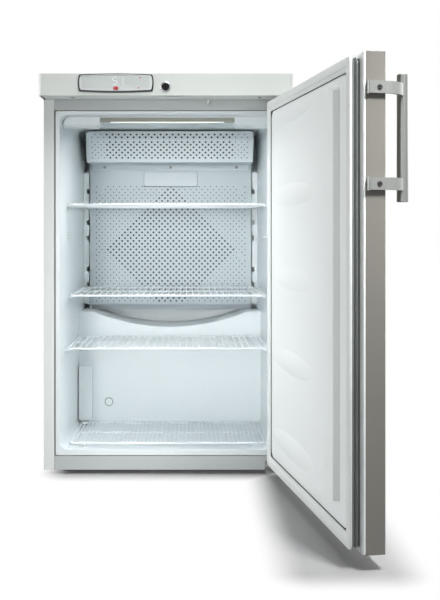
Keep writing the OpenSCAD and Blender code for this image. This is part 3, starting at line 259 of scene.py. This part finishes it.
FINISHES = {
    "cabinet_coat": ["left_side_panel", "right_side_panel", "base_pan"],
    "rail_shaded_coat": ["top_rail", "bottom_rail"],
    "back_coat": ["back_panel", "niche_cover"],
    "cover_plastic": ["top_cover", "fascia_base", "door_switch", "door_top_cap", "door_bottom_cap"],
    "panel_plastic": ["door_liner"],
    "gutter_shaded_plastic": ["drip_gutter"],
    "liner_plastic": ["inner_liner", "lamp_housing", "fan_rotor",
                      "shelf_hooks", "notch_rails", "probe_cover", "port_plug"],
    "sheet_coat": ["air_panel"],
    "hood_coat": ["evaporator_cover"],
    "plate_coat": ["sensor_cover"],
    "wire_coat": ["shelf_top", "shelf_middle", "shelf_lower", "floor_rack"],
    "seam_and_shade_grey": ["breaker_strip"],
    "lock_plastic": ["lock_core"],
    "dark_plastic": ["fan_motor", "evaporation_tray", "front_foot_left",
                     "front_foot_right", "rear_feet", "power_inlet", "handle_screws"],
    "bezel_plastic": ["display_bezel"],
    "display_plastic": ["display_panel"],
    "red_plastic": ["alarm_button", "indicator_lamps"],
    "chrome": ["lock_barrel"],
    "zinc": ["lock_cam", "panel_screws", "hinge_bracket_lower", "hinge_bracket_upper"],
    "evaporator_metal": ["evaporator_plate", "evaporator_tube"],
    "satin_steel": ["handle_tube"],
    "bracket_steel": ["handle_brackets"],
    "door_steel": ["door_skin"],
    "foam": ["foam_insulation", "door_foam"],
    "black_enamel": ["compressor", "condenser_coil", "condenser_brackets"],
    "black_rubber": ["compressor_mounts"],
    "seal_rubber": ["door_gasket"],
    "bearing_plastic": ["hinge_bushes"],
    "lamp_board": ["lamp_strip"],
}
for finish, names in FINISHES.items():
    for name in names:
        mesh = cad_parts[name].data
        mesh.materials.clear()
        mesh.materials.append(MATERIALS[finish])


# Small pieces

def skin(bm, rows):
    """Faces between rings of points, each with as many points as the last. Returns the rings of vertices."""
    made = [[bm.verts.new(p) for p in row] for row in rows]
    for first, second in zip(made, made[1:]):
        count = len(first)
        for i in range(count):
            j = (i + 1) % count
            bm.faces.new((first[i], first[j], second[j], second[i]))
    return made


def capped(bm, rows):
    """A skin with a face over its first ring and its last."""
    rings = skin(bm, rows)
    bm.faces.new(rings[0])
    bm.faces.new(rings[-1])


def curve_through(points, steps=8):
    """A smooth path through the points, with steps on each stretch."""
    path = []
    last = len(points) - 1
    for i in range(last):
        p0, p1 = points[max(i - 1, 0)], points[i]
        p2, p3 = points[i + 1], points[min(i + 2, last)]
        for k in range(steps):
            t = k / steps
            path.append(0.5 * (2 * p1 + (p2 - p0) * t + (2 * p0 - 5 * p1 + 4 * p2 - p3) * t * t
                               + (3 * p1 - p0 - 3 * p2 + p3) * t * t * t))
    return path + [points[-1]]


def tube(bm, path, radius, sides):
    """A round rod along a path, closed at both ends."""
    along = (path[1] - path[0]).normalized()
    side = along.orthogonal().normalized()
    rows = []
    for i, point in enumerate(path):
        along = (path[min(i + 1, len(path) - 1)] - path[max(i - 1, 0)]).normalized()
        side = (side - along * side.dot(along)).normalized()
        across = along.cross(side)
        rows.append([point + radius * (side * math.cos(a) + across * math.sin(a))
                     for a in (2 * math.pi * k / sides for k in range(sides))])
    capped(bm, rows)


def turned(bm, centre, axis, profile, sides):
    """A shape turned about an axis from radii and heights in millimetres, closed where a radius is 0."""
    axis = Vector(axis).normalized()
    side = axis.orthogonal().normalized()
    across = axis.cross(side)
    rows = [[centre + axis * h * MM + r * MM * (side * math.cos(a) + across * math.sin(a))
             for a in (2 * math.pi * k / sides for k in range(sides))] for r, h in profile]
    skin(bm, rows)
    bmesh.ops.remove_doubles(bm, verts=bm.verts, dist=1e-7)


def block(bm, low, high, bevel, place=cab):
    """A box between two corners with its edges rounded by bevel, all in millimetres."""
    made = bmesh.ops.create_cube(bm, size=1.0)["verts"]
    for v in made:
        v.co = place(*(lo if c < 0 else hi for lo, hi, c in zip(low, high, v.co)))
    edges = list({e for v in made for e in v.link_edges})
    bmesh.ops.bevel(bm, geom=edges, offset=bevel * MM, segments=3, affect="EDGES", profile=0.5)


def piece(name, bm, finish, body, sharp=30):
    """A mesh piece with a finish that rides on a body, its edges sharp from an angle in degrees."""
    mesh = bpy.data.meshes.new(name)
    bmesh.ops.recalc_face_normals(bm, faces=bm.faces)
    bm.to_mesh(mesh)
    bm.free()
    mesh.materials.append(MATERIALS[finish])
    mesh.shade_smooth()
    mesh.set_sharp_from_angle(angle=math.radians(sharp))
    obj = bpy.data.objects.new(name, mesh)
    bpy.context.scene.collection.objects.link(obj)
    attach(obj, body)
    return obj


# Seal of the door: a pale lip with its inner flap, folds behind it grey with painted shade, a pale root, and
# a grey strip of painted shadow in the groove by the liner.
# Each profile lists how far in from the door's edge, and Y from the cabinet's front with the door closed.

DOOR_HW, DOOR_Z0, DOOR_Z1 = 278.0, 27.0, 842.0
SEAL_CORNER, SEAL_CORNER_LEAST, SEAL_CORNER_LOSS = 10.0, 2.0, 0.3
SEAL_LIP = [
    (8.0, -6.3), (6.7, -5.2), (6.5, -3.2), (7.4, -1.7), (9.4, -1.2), (20.5, -1.2), (22.2, -1.6), (23.0, -2.6),
    (29.6, -3.4), (30.3, -4.4), (29.4, -5.2), (23.6, -5.0), (22.0, -6.3)]
SEAL_FOLDS = [
    (9.0, -6.2), (8.6, -8.0), (13.0, -10.5), (13.0, -11.3), (8.2, -14.0), (8.2, -15.0), (13.0, -17.4),
    (13.0, -18.2), (9.0, -20.6), (24.0, -20.6), (20.5, -18.2), (20.5, -17.4), (23.5, -15.0), (23.5, -14.0),
    (20.2, -11.3), (20.2, -10.5), (23.0, -8.0), (22.0, -6.2)]
SEAL_ROOT = [(0.6, -23.3), (0.7, -22.8), (6.2, -20.4), (25.2, -20.3), (25.8, -20.9), (25.8, -23.3)]
SEAL_GROOVE_SHADE = [(25.6, -23.0), (25.8, -21.9), (30.4, -21.9), (30.6, -23.0)]


def loop_corners(inset, radius, steps=6):
    """Points in X and Z of a rounded rectangle drawn in from the door's outline."""
    x1, z0, z1 = DOOR_HW - inset, DOOR_Z0 + inset, DOOR_Z1 - inset
    points = []
    for cx, cz, start in ((x1, z1, 0), (-x1, z1, 90), (-x1, z0, 180), (x1, z0, 270)):
        cx -= math.copysign(radius, cx)
        cz -= math.copysign(radius, cz - (z0 + z1) / 2)
        for k in range(steps + 1):
            a = math.radians(start + 90 * k / steps)
            points.append((cx + radius * math.cos(a), cz + radius * math.sin(a)))
    return points


def seal_piece(name, profile, finish, sharp):
    """A profile carried round the door, with tighter corners towards the middle."""
    bm = bmesh.new()
    rows = []
    for inset, y in profile + profile[:1]:
        corner = max(SEAL_CORNER_LEAST, SEAL_CORNER - SEAL_CORNER_LOSS * inset)
        rows.append([door(x, y, z) for x, z in loop_corners(inset, corner)])
    skin(bm, rows)
    bmesh.ops.remove_doubles(bm, verts=bm.verts, dist=1e-7)
    return piece(name, bm, finish, "door", sharp)


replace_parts(seal_piece("seal_lip", SEAL_LIP, "seal_rubber", 40), "door_gasket")
seal_piece("seal_folds", SEAL_FOLDS, "seal_fold_shade", 20)
seal_piece("seal_root", SEAL_ROOT, "panel_plastic", 50)
seal_piece("seal_groove_shade", SEAL_GROOVE_SHADE, "seal_groove_shade", 50)


# Painted shade: near-black sheets close behind the perforated sheets, which the holes show, standing for the
# shade in the duct and behind the cover

SHADE_SHEET_T = 1.0
SHADE_SHEET_PARTS = 8
AIR_BEHIND, AIR_SIDE, AIR_END = 9, 6, 4
HOOD_BEHIND, HOOD_LEAN, HOOD_SIDE = 8, 25, 5


def bent_shade_sheet(name, path, x0, x1):
    """A thin near-black sheet of painted shade, bent along a path of Y and Z from x0 to x1, in the cabinet's
    millimetres.
    """
    bm = bmesh.new()
    section = path + [(y + SHADE_SHEET_T, z) for y, z in reversed(path)]
    stations = [x0 + (x1 - x0) * k / SHADE_SHEET_PARTS for k in range(SHADE_SHEET_PARTS + 1)]
    made = skin(bm, [[cab(x, y, z) for y, z in section] for x in stations])
    for ring in (made[0], made[-1]):
        for a in range(len(path) - 1):
            bm.faces.new((ring[a], ring[a + 1], ring[-2 - a], ring[-1 - a]))
    piece(name, bm, "duct_shade_sheet", "cabinet", 20)


air_lo, air_hi = in_cabinet(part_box("air_panel"))
air_y = air_lo.y + AIR_BEHIND
bent_shade_sheet("duct_shade_sheet", [(air_y, air_lo.z + AIR_END), (air_y, air_hi.z - AIR_END)],
            air_lo.x + AIR_SIDE, air_hi.x - AIR_SIDE)
hood_lo, hood_hi = in_cabinet(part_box("evaporator_cover"))
hood_y = hood_lo.y + HOOD_BEHIND
hood_path = [(hood_y + HOOD_LEAN, hood_lo.z + 20), (hood_y, hood_hi.z - 24), (hood_y, hood_hi.z - 6)]
bent_shade_sheet("cover_shade_sheet", hood_path, hood_lo.x + HOOD_SIDE, hood_hi.x - HOOD_SIDE)


# Display: a printed film on the pale panel, a dark rim that is partly the bezel and partly painted shadow, a
# white lip inside it set higher so the dark shows wider below, and a lit reading

BOW_SIDE, BOW_LEVEL, BOW_CORNER = 3.6, 2.6, 4.0
DISPLAY_X, DISPLAY_Z = -110.0, 875.5
FASCIA_Y = -62.0


def bow_radius(chord, rise):
    """Radius of an arc from its chord and its rise."""
    return ((chord / 2) ** 2 + rise ** 2) / (2 * rise)


def arc_points(cx, cz, radius, start, end, steps):
    """Points in X and Z on an arc between two angles."""
    return [(cx + radius * math.cos(start + (end - start) * k / steps),
             cz + radius * math.sin(start + (end - start) * k / steps)) for k in range(steps + 1)]


def display_outline(w, h):
    """The display's outline in X and Z about its middle: four bowed sides and rounded corners."""
    side, level = bow_radius(h, BOW_SIDE), bow_radius(w, BOW_LEVEL)
    side_x, level_z = w / 2 - side, h / 2 - level
    # A corner's middle is where both bows, drawn in by the corner's radius, cross
    r1, r2 = side - BOW_CORNER, level - BOW_CORNER
    apart = math.hypot(side_x, level_z)
    part = (r1 * r1 - r2 * r2 + apart * apart) / (2 * apart)
    off = math.sqrt(r1 * r1 - part * part)
    ux, uz = -side_x / apart, level_z / apart
    cx, cz = side_x + part * ux - off * uz, part * uz + off * ux
    if cx < 0:
        cx, cz = side_x + part * ux + off * uz, part * uz - off * ux
    side_a = math.atan2(cz, cx - side_x)
    level_a = math.atan2(cz - level_z, cx)
    quarter = (arc_points(side_x, 0, side, 0, side_a, 8)
               + arc_points(cx, cz, BOW_CORNER, side_a, level_a, 8)[1:]
               + arc_points(0, level_z, level, level_a, math.pi / 2, 24)[1:])
    half = quarter + [(-x, z) for x, z in reversed(quarter[:-1])]
    return half + [(x, -z) for x, z in reversed(half[1:-1])]


def bowed_ring(name, finish, section):
    """A ring round the display, from a section of widths, heights, lifts and Y from the fascia."""
    bm = bmesh.new()
    rows = [[cab(DISPLAY_X + x, FASCIA_Y + y, DISPLAY_Z + lift + z) for x, z in display_outline(w, h)]
            for w, h, lift, y in section]
    skin(bm, rows + rows[:1])
    bmesh.ops.remove_doubles(bm, verts=bm.verts, dist=1e-7)
    piece(name, bm, finish, "cabinet")


def raised(bm, outline, back, front, middle, round_off):
    """A plate with a softened front edge, from an outline in X and Z about its middle."""
    def ring(inset, y):
        shares = [1 - inset / math.hypot(x, z) for x, z in outline]
        return [cab(middle[0] + x * share, y, middle[1] + z * share)
                for (x, z), share in zip(outline, shares)]
    capped(bm, [ring(0, back), ring(0, front + round_off),
                ring(round_off * 0.3, front + round_off * 0.3), ring(round_off, front)])


def rounded_rectangle(w, h, r, steps=6):
    """Points in X and Z of a rounded rectangle about its middle."""
    points = []
    for sx, sz, start in ((1, 1, 0), (-1, 1, 90), (-1, -1, 180), (1, -1, 270)):
        from_a, to_a = math.radians(start), math.radians(start + 90)
        points += arc_points(sx * (w / 2 - r), sz * (h / 2 - r), r, from_a, to_a, steps)
    return points


FILM_W, FILM_H, FILM_CORNER, FILM_EDGE = 148, 25.6, 1.5, 0.2
FILM_BACK, FILM_FRONT = -1.3, -1.75
film = bmesh.new()
raised(film, rounded_rectangle(FILM_W, FILM_H, FILM_CORNER), FASCIA_Y + FILM_BACK, FASCIA_Y + FILM_FRONT,
       (DISPLAY_X, DISPLAY_Z), FILM_EDGE)
piece("display_film", film, "display_film", "cabinet")
# The rim's dark is partly the bezel and partly painted shadow; the lip sits higher, so the dark shows wider
# below
bowed_ring("display_rim_and_shadow", "bezel_plastic", [
    (166.6, 42.6, -0.5, 0.2), (166.4, 42.4, -0.5, -1.9), (165.2, 41.2, -0.4, -2.9), (162.8, 38.8, 0.0, -3.2),
    (161.0, 36.8, 0.5, -2.6), (160.7, 36.5, 0.5, -1.2), (162.0, 38.0, 0.2, 0.2)])
bowed_ring("display_lip", "display_plastic", [
    (160.6, 36.4, 0.5, -1.9), (160.2, 36.0, 0.5, -2.7), (158.8, 34.6, 0.5, -2.9), (157.2, 33.2, 0.3, -2.7),
    (156.6, 32.6, 0.2, -1.9), (156.4, 32.4, 0.2, -1.2), (160.6, 36.4, 0.5, -1.2)])

SEGMENTS = {"5": "afgcd", "1": "bc"}
DIGIT_W, DIGIT_H, STROKE, SLANT = 9.5, 16.0, 2.0, 0.08
DIGIT_GAP = 0.5
DIGIT_BACK, DIGIT_FRONT = -1.7, -1.95
DIGIT_Z = DISPLAY_Z + 4.5


def seven_segment(bm, digit, middle):
    """One numeral of the reading, its lit bars laid flat on the film."""
    hw, hh, t = DIGIT_W / 2, DIGIT_H / 2, STROKE / 2
    gap = DIGIT_GAP + t
    bars = {"a": (-hw, hh, hw, hh), "g": (-hw, 0, hw, 0), "d": (-hw, -hh, hw, -hh),
            "f": (-hw, 0, -hw, hh), "b": (hw, 0, hw, hh), "c": (hw, -hh, hw, 0)}
    for letter in SEGMENTS[digit]:
        x0, z0, x1, z1 = bars[letter]
        if z0 == z1:
            outline = [(x0 + gap, z0 - t), (x1 - gap, z0 - t), (x1 - gap + t, z0), (x1 - gap, z0 + t),
                       (x0 + gap, z0 + t), (x0 + gap - t, z0)]
        else:
            outline = [(x0 - t, z0 + gap), (x0, z0 + gap - t), (x0 + t, z0 + gap), (x0 + t, z1 - gap),
                       (x0, z1 - gap + t), (x0 - t, z1 - gap)]
        placed = [(x + SLANT * z + middle[0], z + middle[1]) for x, z in outline]
        capped(bm, [[cab(x, FASCIA_Y + y, z) for x, z in placed] for y in (DIGIT_BACK, DIGIT_FRONT)])


reading = bmesh.new()
seven_segment(reading, "5", (DISPLAY_X - 2, DIGIT_Z))
seven_segment(reading, "1", (DISPLAY_X + 11.5, DIGIT_Z))
piece("display_reading", reading, "digit_glow", "cabinet")


# Alarm button: a domed oval cap on its stem, from widths, heights and Y from the fascia

BUTTON_Z = DISPLAY_Z - 11.5
BUTTON_SIDES = 40
BUTTON = [(9, 4.4, 4.0), (9, 4.4, 1.0), (12.2, 7.2, 1.0), (12.2, 7.2, -2.2), (11.4, 6.4, -2.75),
          (7.4, 3.6, -3.0), (2.0, 1.0, -3.05)]
button = bmesh.new()
turns = [2 * math.pi * k / BUTTON_SIDES for k in range(BUTTON_SIDES)]
capped(button, [[cab(DISPLAY_X + w / 2 * math.cos(a), FASCIA_Y + y, BUTTON_Z + h / 2 * math.sin(a))
                 for a in turns] for w, h, y in BUTTON])
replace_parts(piece("button_cap", button, "red_plastic", "button", 40), "alarm_button")


# Painted shadow: a grey frame round the blank cover on the air panel, wider below, for the shade at the
# cover's edges

plate_lo, plate_hi = in_cabinet(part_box("sensor_cover"))
cover_shadow = bmesh.new()
block(cover_shadow, (plate_lo.x - 1.3, plate_hi.y - 0.9, plate_lo.z - 1.6),
      (plate_hi.x + 1.3, plate_hi.y + 0.1, plate_hi.z + 1.1), 0.3)
piece("sensor_cover_shadow", cover_shadow, "seam_and_shade_grey", "cabinet")


# Port: a raised ring round the plug in the back wall, and a grey ring of painted shade in its groove

port_lo, port_hi = in_cabinet(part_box("port_plug"))
port_middle = cab((port_lo.x + port_hi.x) / 2, port_lo.y, (port_lo.z + port_hi.z) / 2)
port_r = (port_hi.x - port_lo.x) / 2
rim = bmesh.new()
turned(rim, port_middle, (0, -1, 0), [
    (port_r - 0.4, -2.2), (port_r + 0.2, 0.6), (port_r - 0.6, 1.5),
    (port_r - 1.8, 1.5), (port_r - 2.4, 0.9), (port_r - 2.6, -0.6)], 40)
piece("port_rim", rim, "liner_plastic", "cabinet", 40)
port_shade = bmesh.new()
turned(port_shade, port_middle, (0, -1, 0), [
    (port_r - 2.4, 0), (port_r - 2.5, 0.25), (port_r - 4.2, 0.25), (port_r - 4.3, 0)], 40)
piece("port_groove_shade", port_shade, "seam_and_shade_grey", "cabinet", 40)


# Lock: a polished ring with a groove round the dark core

LOCK_X, LOCK_Z = -1.0, 866.5
ring = bmesh.new()
turned(ring, cab(LOCK_X, FASCIA_Y, LOCK_Z), (0, -1, 0), [
    (11.5, 0.0), (11.7, 1.4), (11.3, 2.9), (10.6, 3.7), (10.0, 3.9),
    (9.7, 3.5), (9.3, 3.5), (9.1, 3.9), (8.7, 3.8), (8.62, 2.8)], 48)
piece("lock_ring", ring, "chrome", "cabinet", 50)


# Handle: a turned-back lip on the end of each bracket's strap, in a lighter copy of the bracket steel as
# painted highlight

STRAP_HH = 10.0
straps_lo, straps_hi = in_cabinet(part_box("handle_brackets"))
lips = bmesh.new()
for strap_z in (straps_lo.z + STRAP_HH, straps_hi.z - STRAP_HH):
    block(lips, (-DOOR_HW - 6.3, -30.4, strap_z - STRAP_HH),
          (-DOOR_HW + 0.1, -27.9, strap_z + STRAP_HH), 0.9, door)
piece("bracket_lips", lips, "lip_lit_steel", "door", 40)


# Lit bar along the front of the ceiling lamp, with its diodes

BAR_R = 1.9
BAR_STATIONS = (-1, -0.97, -0.5, 0, 0.5, 0.97, 1)
DIODES, DIODE_PITCH = 16, 16.7
DIODE = [(0, 0), (1.5, 0), (1.5, 0.8), (0.9, 1.2), (0, 1.4)]
strip_lo = in_cabinet(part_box("lamp_strip"))[0]
bar_y, bar_z = strip_lo.y + 4.6, strip_lo.z + 0.6
bar_hw = (DIODES - 1) * DIODE_PITCH / 2 + 6
bar = bmesh.new()
tube(bar, [cab(share * bar_hw, bar_y, bar_z) for share in BAR_STATIONS], BAR_R * MM, 18)
piece("lamp_diffuser", bar, "lamp_white", "cabinet", 40)
diodes = bmesh.new()
for i in range(DIODES):
    place = cab((i - (DIODES - 1) / 2) * DIODE_PITCH, bar_y - 1.2, bar_z + 1.4)
    turned(diodes, place, (0, -1, 0.25), DIODE, 16)
piece("lamp_diodes", diodes, "lamp_warm", "cabinet", 40)


# Back: copper pipes from the compressor to the wire condenser, a filter drier, beads and screws

# Radii of the pipes and the drier, the condenser's ends and the drier's ends
PIPE_R, CAPILLARY_R, SUCTION_R, DRIER_R = 2.5, 1.2, 4.0, 9.6
COIL_END_X, COIL_Y, COIL_LOW, COIL_HIGH = -188, 532, 304, 808
DRIER_FROM, DRIER_TO = (-196, 516, 250), (-148, 508, 192)


def pipe(bm, points, radius, sides=14):
    """A smooth pipe through points of the cabinet, all in millimetres."""
    tube(bm, curve_through([cab(*p) for p in points]), radius * MM, sides)


COMPRESSOR_TO_COIL = [
    (62, 452, 120), (44, 462, 126), (20, 482, 146), (-40, 505, 196), (-150, 517, 232), (-222, 521, 272),
    (-236, 522, 330), (-236, 524, 560), (-236, 527, 770), (-228, 531, 800),
    (COIL_END_X - 18, COIL_Y, COIL_HIGH), (COIL_END_X, COIL_Y, COIL_HIGH)]
COIL_TO_DRIER = [
    (COIL_END_X, COIL_Y, COIL_LOW), (-206, 532, 300), (-214, 528, 282), (-206, 520, 262), DRIER_FROM]
CAPILLARY = [DRIER_TO, (-136, 505, 182), (-112, 500, 184), (-84, 494, 214), (-70, 488, 262)]
SUCTION = [(134, 452, 180), (140, 462, 206), (150, 472, 232), (152, 474, 262)]
pipes = bmesh.new()
pipe(pipes, COMPRESSOR_TO_COIL, PIPE_R)
pipe(pipes, COIL_TO_DRIER, PIPE_R)
pipe(pipes, CAPILLARY, CAPILLARY_R, 10)
pipe(pipes, SUCTION, SUCTION_R)
piece("copper_pipes", pipes, "copper", "cabinet", 40)

drier = bmesh.new()
drier_start, drier_end = cab(*DRIER_FROM), cab(*DRIER_TO)
drier_l = (drier_end - drier_start).length / MM
turned(drier, drier_start, drier_end - drier_start, [
    (0, 0), (3.4, 0), (3.6, 6), (DRIER_R - 0.2, 13), (DRIER_R, 15), (DRIER_R, drier_l - 15),
    (DRIER_R - 0.2, drier_l - 13), (2.2, drier_l - 4), (2.0, drier_l), (0, drier_l)], 28)
piece("filter_drier", drier, "copper", "cabinet", 40)

back_lo, back_hi = in_cabinet(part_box("back_panel"))
BEAD_HW, BEAD_HH, BEAD_INSET = 199.6, 3.7, 60
beads = bmesh.new()
for z in (back_lo.z + BEAD_INSET, back_hi.z - BEAD_INSET):
    block(beads, (-BEAD_HW, back_hi.y - 0.8, z - BEAD_HH), (BEAD_HW, back_hi.y + 1.1, z + BEAD_HH), 1.7)
piece("back_beads", beads, "back_coat", "cabinet")

SCREW_HEAD = [(0, -0.4), (4.2, -0.4), (4.2, 0.3), (3.6, 1.1), (2.2, 1.6), (1.4, 1.6), (1.2, 0.8), (0, 0.8)]
SCREW_X, SIDE_SCREWS_Z, TOP_SCREW_Z = 266, (282, 440, 600, 760, 838), 838
HINGE_SCREWS_X, HINGE_PLATE_Y, HINGE_SCREW_Z = (230, 246), -5, 20
screws = bmesh.new()
back_screws = [(side * SCREW_X, z) for side in (-1, 1) for z in SIDE_SCREWS_Z]
for x, z in back_screws + [(0, TOP_SCREW_Z)]:
    turned(screws, cab(x, back_hi.y, z), (0, 1, 0), SCREW_HEAD, 20)
for x in HINGE_SCREWS_X:
    turned(screws, cab(x, HINGE_PLATE_Y, HINGE_SCREW_Z), (0, -1, 0), SCREW_HEAD, 20)
piece("case_screws", screws, "zinc", "cabinet", 40)


# Floor and world

FLOOR_RADIUS, WHITE_AT = 4.0, 0.08
SHADOW_INSET = 0.06


def maths(tree, operation, first, second):
    """A maths node's output for two sockets."""
    node = tree.nodes.new("ShaderNodeMath")
    node.operation = operation
    tree.links.new(first, node.inputs[0])
    tree.links.new(second, node.inputs[1])
    return node.outputs[0]


def mixed(tree, share, first, second):
    """A blend of two shaders: the second where share is 1."""
    node = tree.nodes.new("ShaderNodeMixShader")
    tree.links.new(share, node.inputs[0])
    tree.links.new(first, node.inputs[1])
    tree.links.new(second, node.inputs[2])
    return node.outputs[0]


def plain(tree, kind, **values):
    """The output of a shader node with values on its own sockets."""
    node = tree.nodes.new(kind)
    for socket, value in values.items():
        node.inputs[socket].default_value = value
    return node.outputs[0]


def glow_for_camera(tree):
    """A socket that is 1 for rays from the camera, mirrors and glass, and 0 for light that bounces."""
    path = tree.nodes.new("ShaderNodeLightPath").outputs
    seen = maths(tree, "MAXIMUM", path["Is Camera Ray"], path["Is Glossy Ray"])
    return maths(tree, "MAXIMUM", seen, path["Is Transmission Ray"])


def make_world(level):
    """White for the camera and in reflections, and a faint light of its own on the object."""
    world = bpy.data.worlds.new("studio")
    bpy.context.scene.world = world
    world.use_nodes = True
    tree = world.node_tree
    tree.nodes.clear()
    out = tree.nodes.new("ShaderNodeOutputWorld")
    seen = plain(tree, "ShaderNodeBackground", Color=(1, 1, 1, 1), Strength=1.0)
    lit = plain(tree, "ShaderNodeBackground", Color=(0.985, 0.99, 1.0, 1), Strength=level)
    tree.links.new(mixed(tree, glow_for_camera(tree), lit, seen), out.inputs["Surface"])


def distance_to(tree, low, high):
    """A socket with a floor point's distance from a rectangle, in metres."""
    def vector_math(operation, first, second=None):
        node = tree.nodes.new("ShaderNodeVectorMath")
        node.operation = operation
        tree.links.new(first, node.inputs[0])
        if second is not None:
            node.inputs[1].default_value = second
        return node.outputs
    place = tree.nodes.new("ShaderNodeTexCoord").outputs["Object"]
    middle = ((low.x + high.x) / 2, (low.y + high.y) / 2, 0)
    half = ((high.x - low.x) / 2, (high.y - low.y) / 2, 1)
    offset = vector_math("SUBTRACT", place, middle)[0]
    outside = vector_math("SUBTRACT", vector_math("ABSOLUTE", offset)[0], half)[0]
    return vector_math("LENGTH", vector_math("MAXIMUM", outside, (0, 0, 0))[0])["Value"]


def floor_fade(tree):
    """A socket that is 0 under the cabinet and the door and rises to 1 a hand's width away."""
    inset = Vector((SHADOW_INSET, 0, 0))
    body_lo, body_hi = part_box("base_pan")
    door_lo, door_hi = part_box("door_skin")
    nearest = maths(tree, "MINIMUM", distance_to(tree, body_lo + inset, body_hi - inset),
                    distance_to(tree, door_lo, door_hi))
    fade = tree.nodes.new("ShaderNodeMapRange")
    fade.interpolation_type = "SMOOTHSTEP"
    fade.inputs["From Min"].default_value = 0.0
    fade.inputs["From Max"].default_value = WHITE_AT
    tree.links.new(nearest, fade.inputs["Value"])
    return fade.outputs["Result"]


def make_floor(glow):
    """A pale disc that takes the shadow near the object and melts into white away from it."""
    bm = bmesh.new()
    bmesh.ops.create_circle(bm, cap_ends=True, radius=FLOOR_RADIUS, segments=96)
    mesh = bpy.data.meshes.new("floor")
    bm.to_mesh(mesh)
    bm.free()
    obj = bpy.data.objects.new("floor", mesh)
    bpy.context.scene.collection.objects.link(obj)
    mat = bpy.data.materials.new("floor")
    mat.use_nodes = True
    tree = mat.node_tree
    tree.nodes.clear()
    out = tree.nodes.new("ShaderNodeOutputMaterial")
    bounced = plain(tree, "ShaderNodeBsdfDiffuse", Color=(0.30, 0.30, 0.305, 1))
    shown = plain(tree, "ShaderNodeBsdfDiffuse", Color=(0.30, 0.30, 0.30, 1))
    lift = plain(tree, "ShaderNodeEmission", Strength=glow)
    white = plain(tree, "ShaderNodeEmission", Strength=1.0)
    shaded = tree.nodes.new("ShaderNodeAddShader")
    tree.links.new(shown, shaded.inputs[0])
    tree.links.new(lift, shaded.inputs[1])
    seen = mixed(tree, floor_fade(tree), shaded.outputs[0], white)
    tree.links.new(mixed(tree, glow_for_camera(tree), bounced, seen), out.inputs["Surface"])
    mesh.materials.append(mat)


make_world(0.09)
make_floor(0.04)


# Light: where each lamp stands, where it aims, its size in metres and its watts

def area_lamp(name, place, aim, size, power, spread=180):
    """A rectangular lamp that the camera can't see, its beam narrowed by a spread in degrees."""
    data = bpy.data.lights.new(name, "AREA")
    data.shape = "RECTANGLE"
    data.size, data.size_y = size
    data.energy = power
    data.spread = math.radians(spread)
    lamp = bpy.data.objects.new(name, data)
    lamp.location = place
    lamp.rotation_euler = (Vector(aim) - Vector(place)).to_track_quat("-Z", "Y").to_euler()
    lamp.visible_camera = False
    bpy.context.scene.collection.objects.link(lamp)


area_lamp("left_softbox", (-2.2, -0.35, 0.9), (0.2, -0.35, 0.5), (0.5, 1.4), 27)
area_lamp("top_light", (0.42, -0.68, 2.1), (0.05, -0.05, 0.4), (1.4, 0.8), 21)
area_lamp("front_light", (-0.50, -1.75, 0.58), (0.13, 0.3, 0.36), (0.3, 0.8), 1.08, spread=34)
area_lamp("door_light", (0.60, -1.0, 1.5), (0.42, -0.58, 0.66), (0.3, 0.2), 2.5, spread=44)
area_lamp("door_fill", (0.07, -0.29, 0.30), (-0.5, -0.06, 0.22), (0.24, 0.5), 0.5, spread=120)
area_lamp("right_light", (2.1, 0.9, 1.5), (0.2, -0.1, 0.5), (1.2, 1.4), 22)
area_lamp("back_light", (0.2, 2.5, 1.6), (0, 0.2, 0.5), (1.8, 1.4), 30)
area_lamp("cabinet_light", cab(0, 66, 776), cab(0, 110, 62), (0.16, 0.02), 1.08)


# The camera of the photograph: level, square to the cabinet, with its frame shifted

FOCAL_PX = 893.6
IMAGE_W, IMAGE_H = 440, 600
AXIS_PX = (190.0, 230.0)
SENSOR = 24.0
CAMERA_PLACE = (52.9, -2023, 552.7)
eye = bpy.data.cameras.new("camera")
eye.sensor_fit = "VERTICAL"
eye.sensor_height = SENSOR
eye.lens = FOCAL_PX / IMAGE_H * SENSOR
eye.shift_x = (IMAGE_W / 2 - AXIS_PX[0]) / IMAGE_H
eye.shift_y = (AXIS_PX[1] - IMAGE_H / 2) / IMAGE_H
camera = bpy.data.objects.new("camera", eye)
camera.location = cab(*CAMERA_PLACE)
camera.rotation_euler = (math.radians(90), 0, 0)
bpy.context.scene.collection.objects.link(camera)
bpy.context.scene.camera = camera
bpy.context.scene.view_settings.view_transform = "Standard"
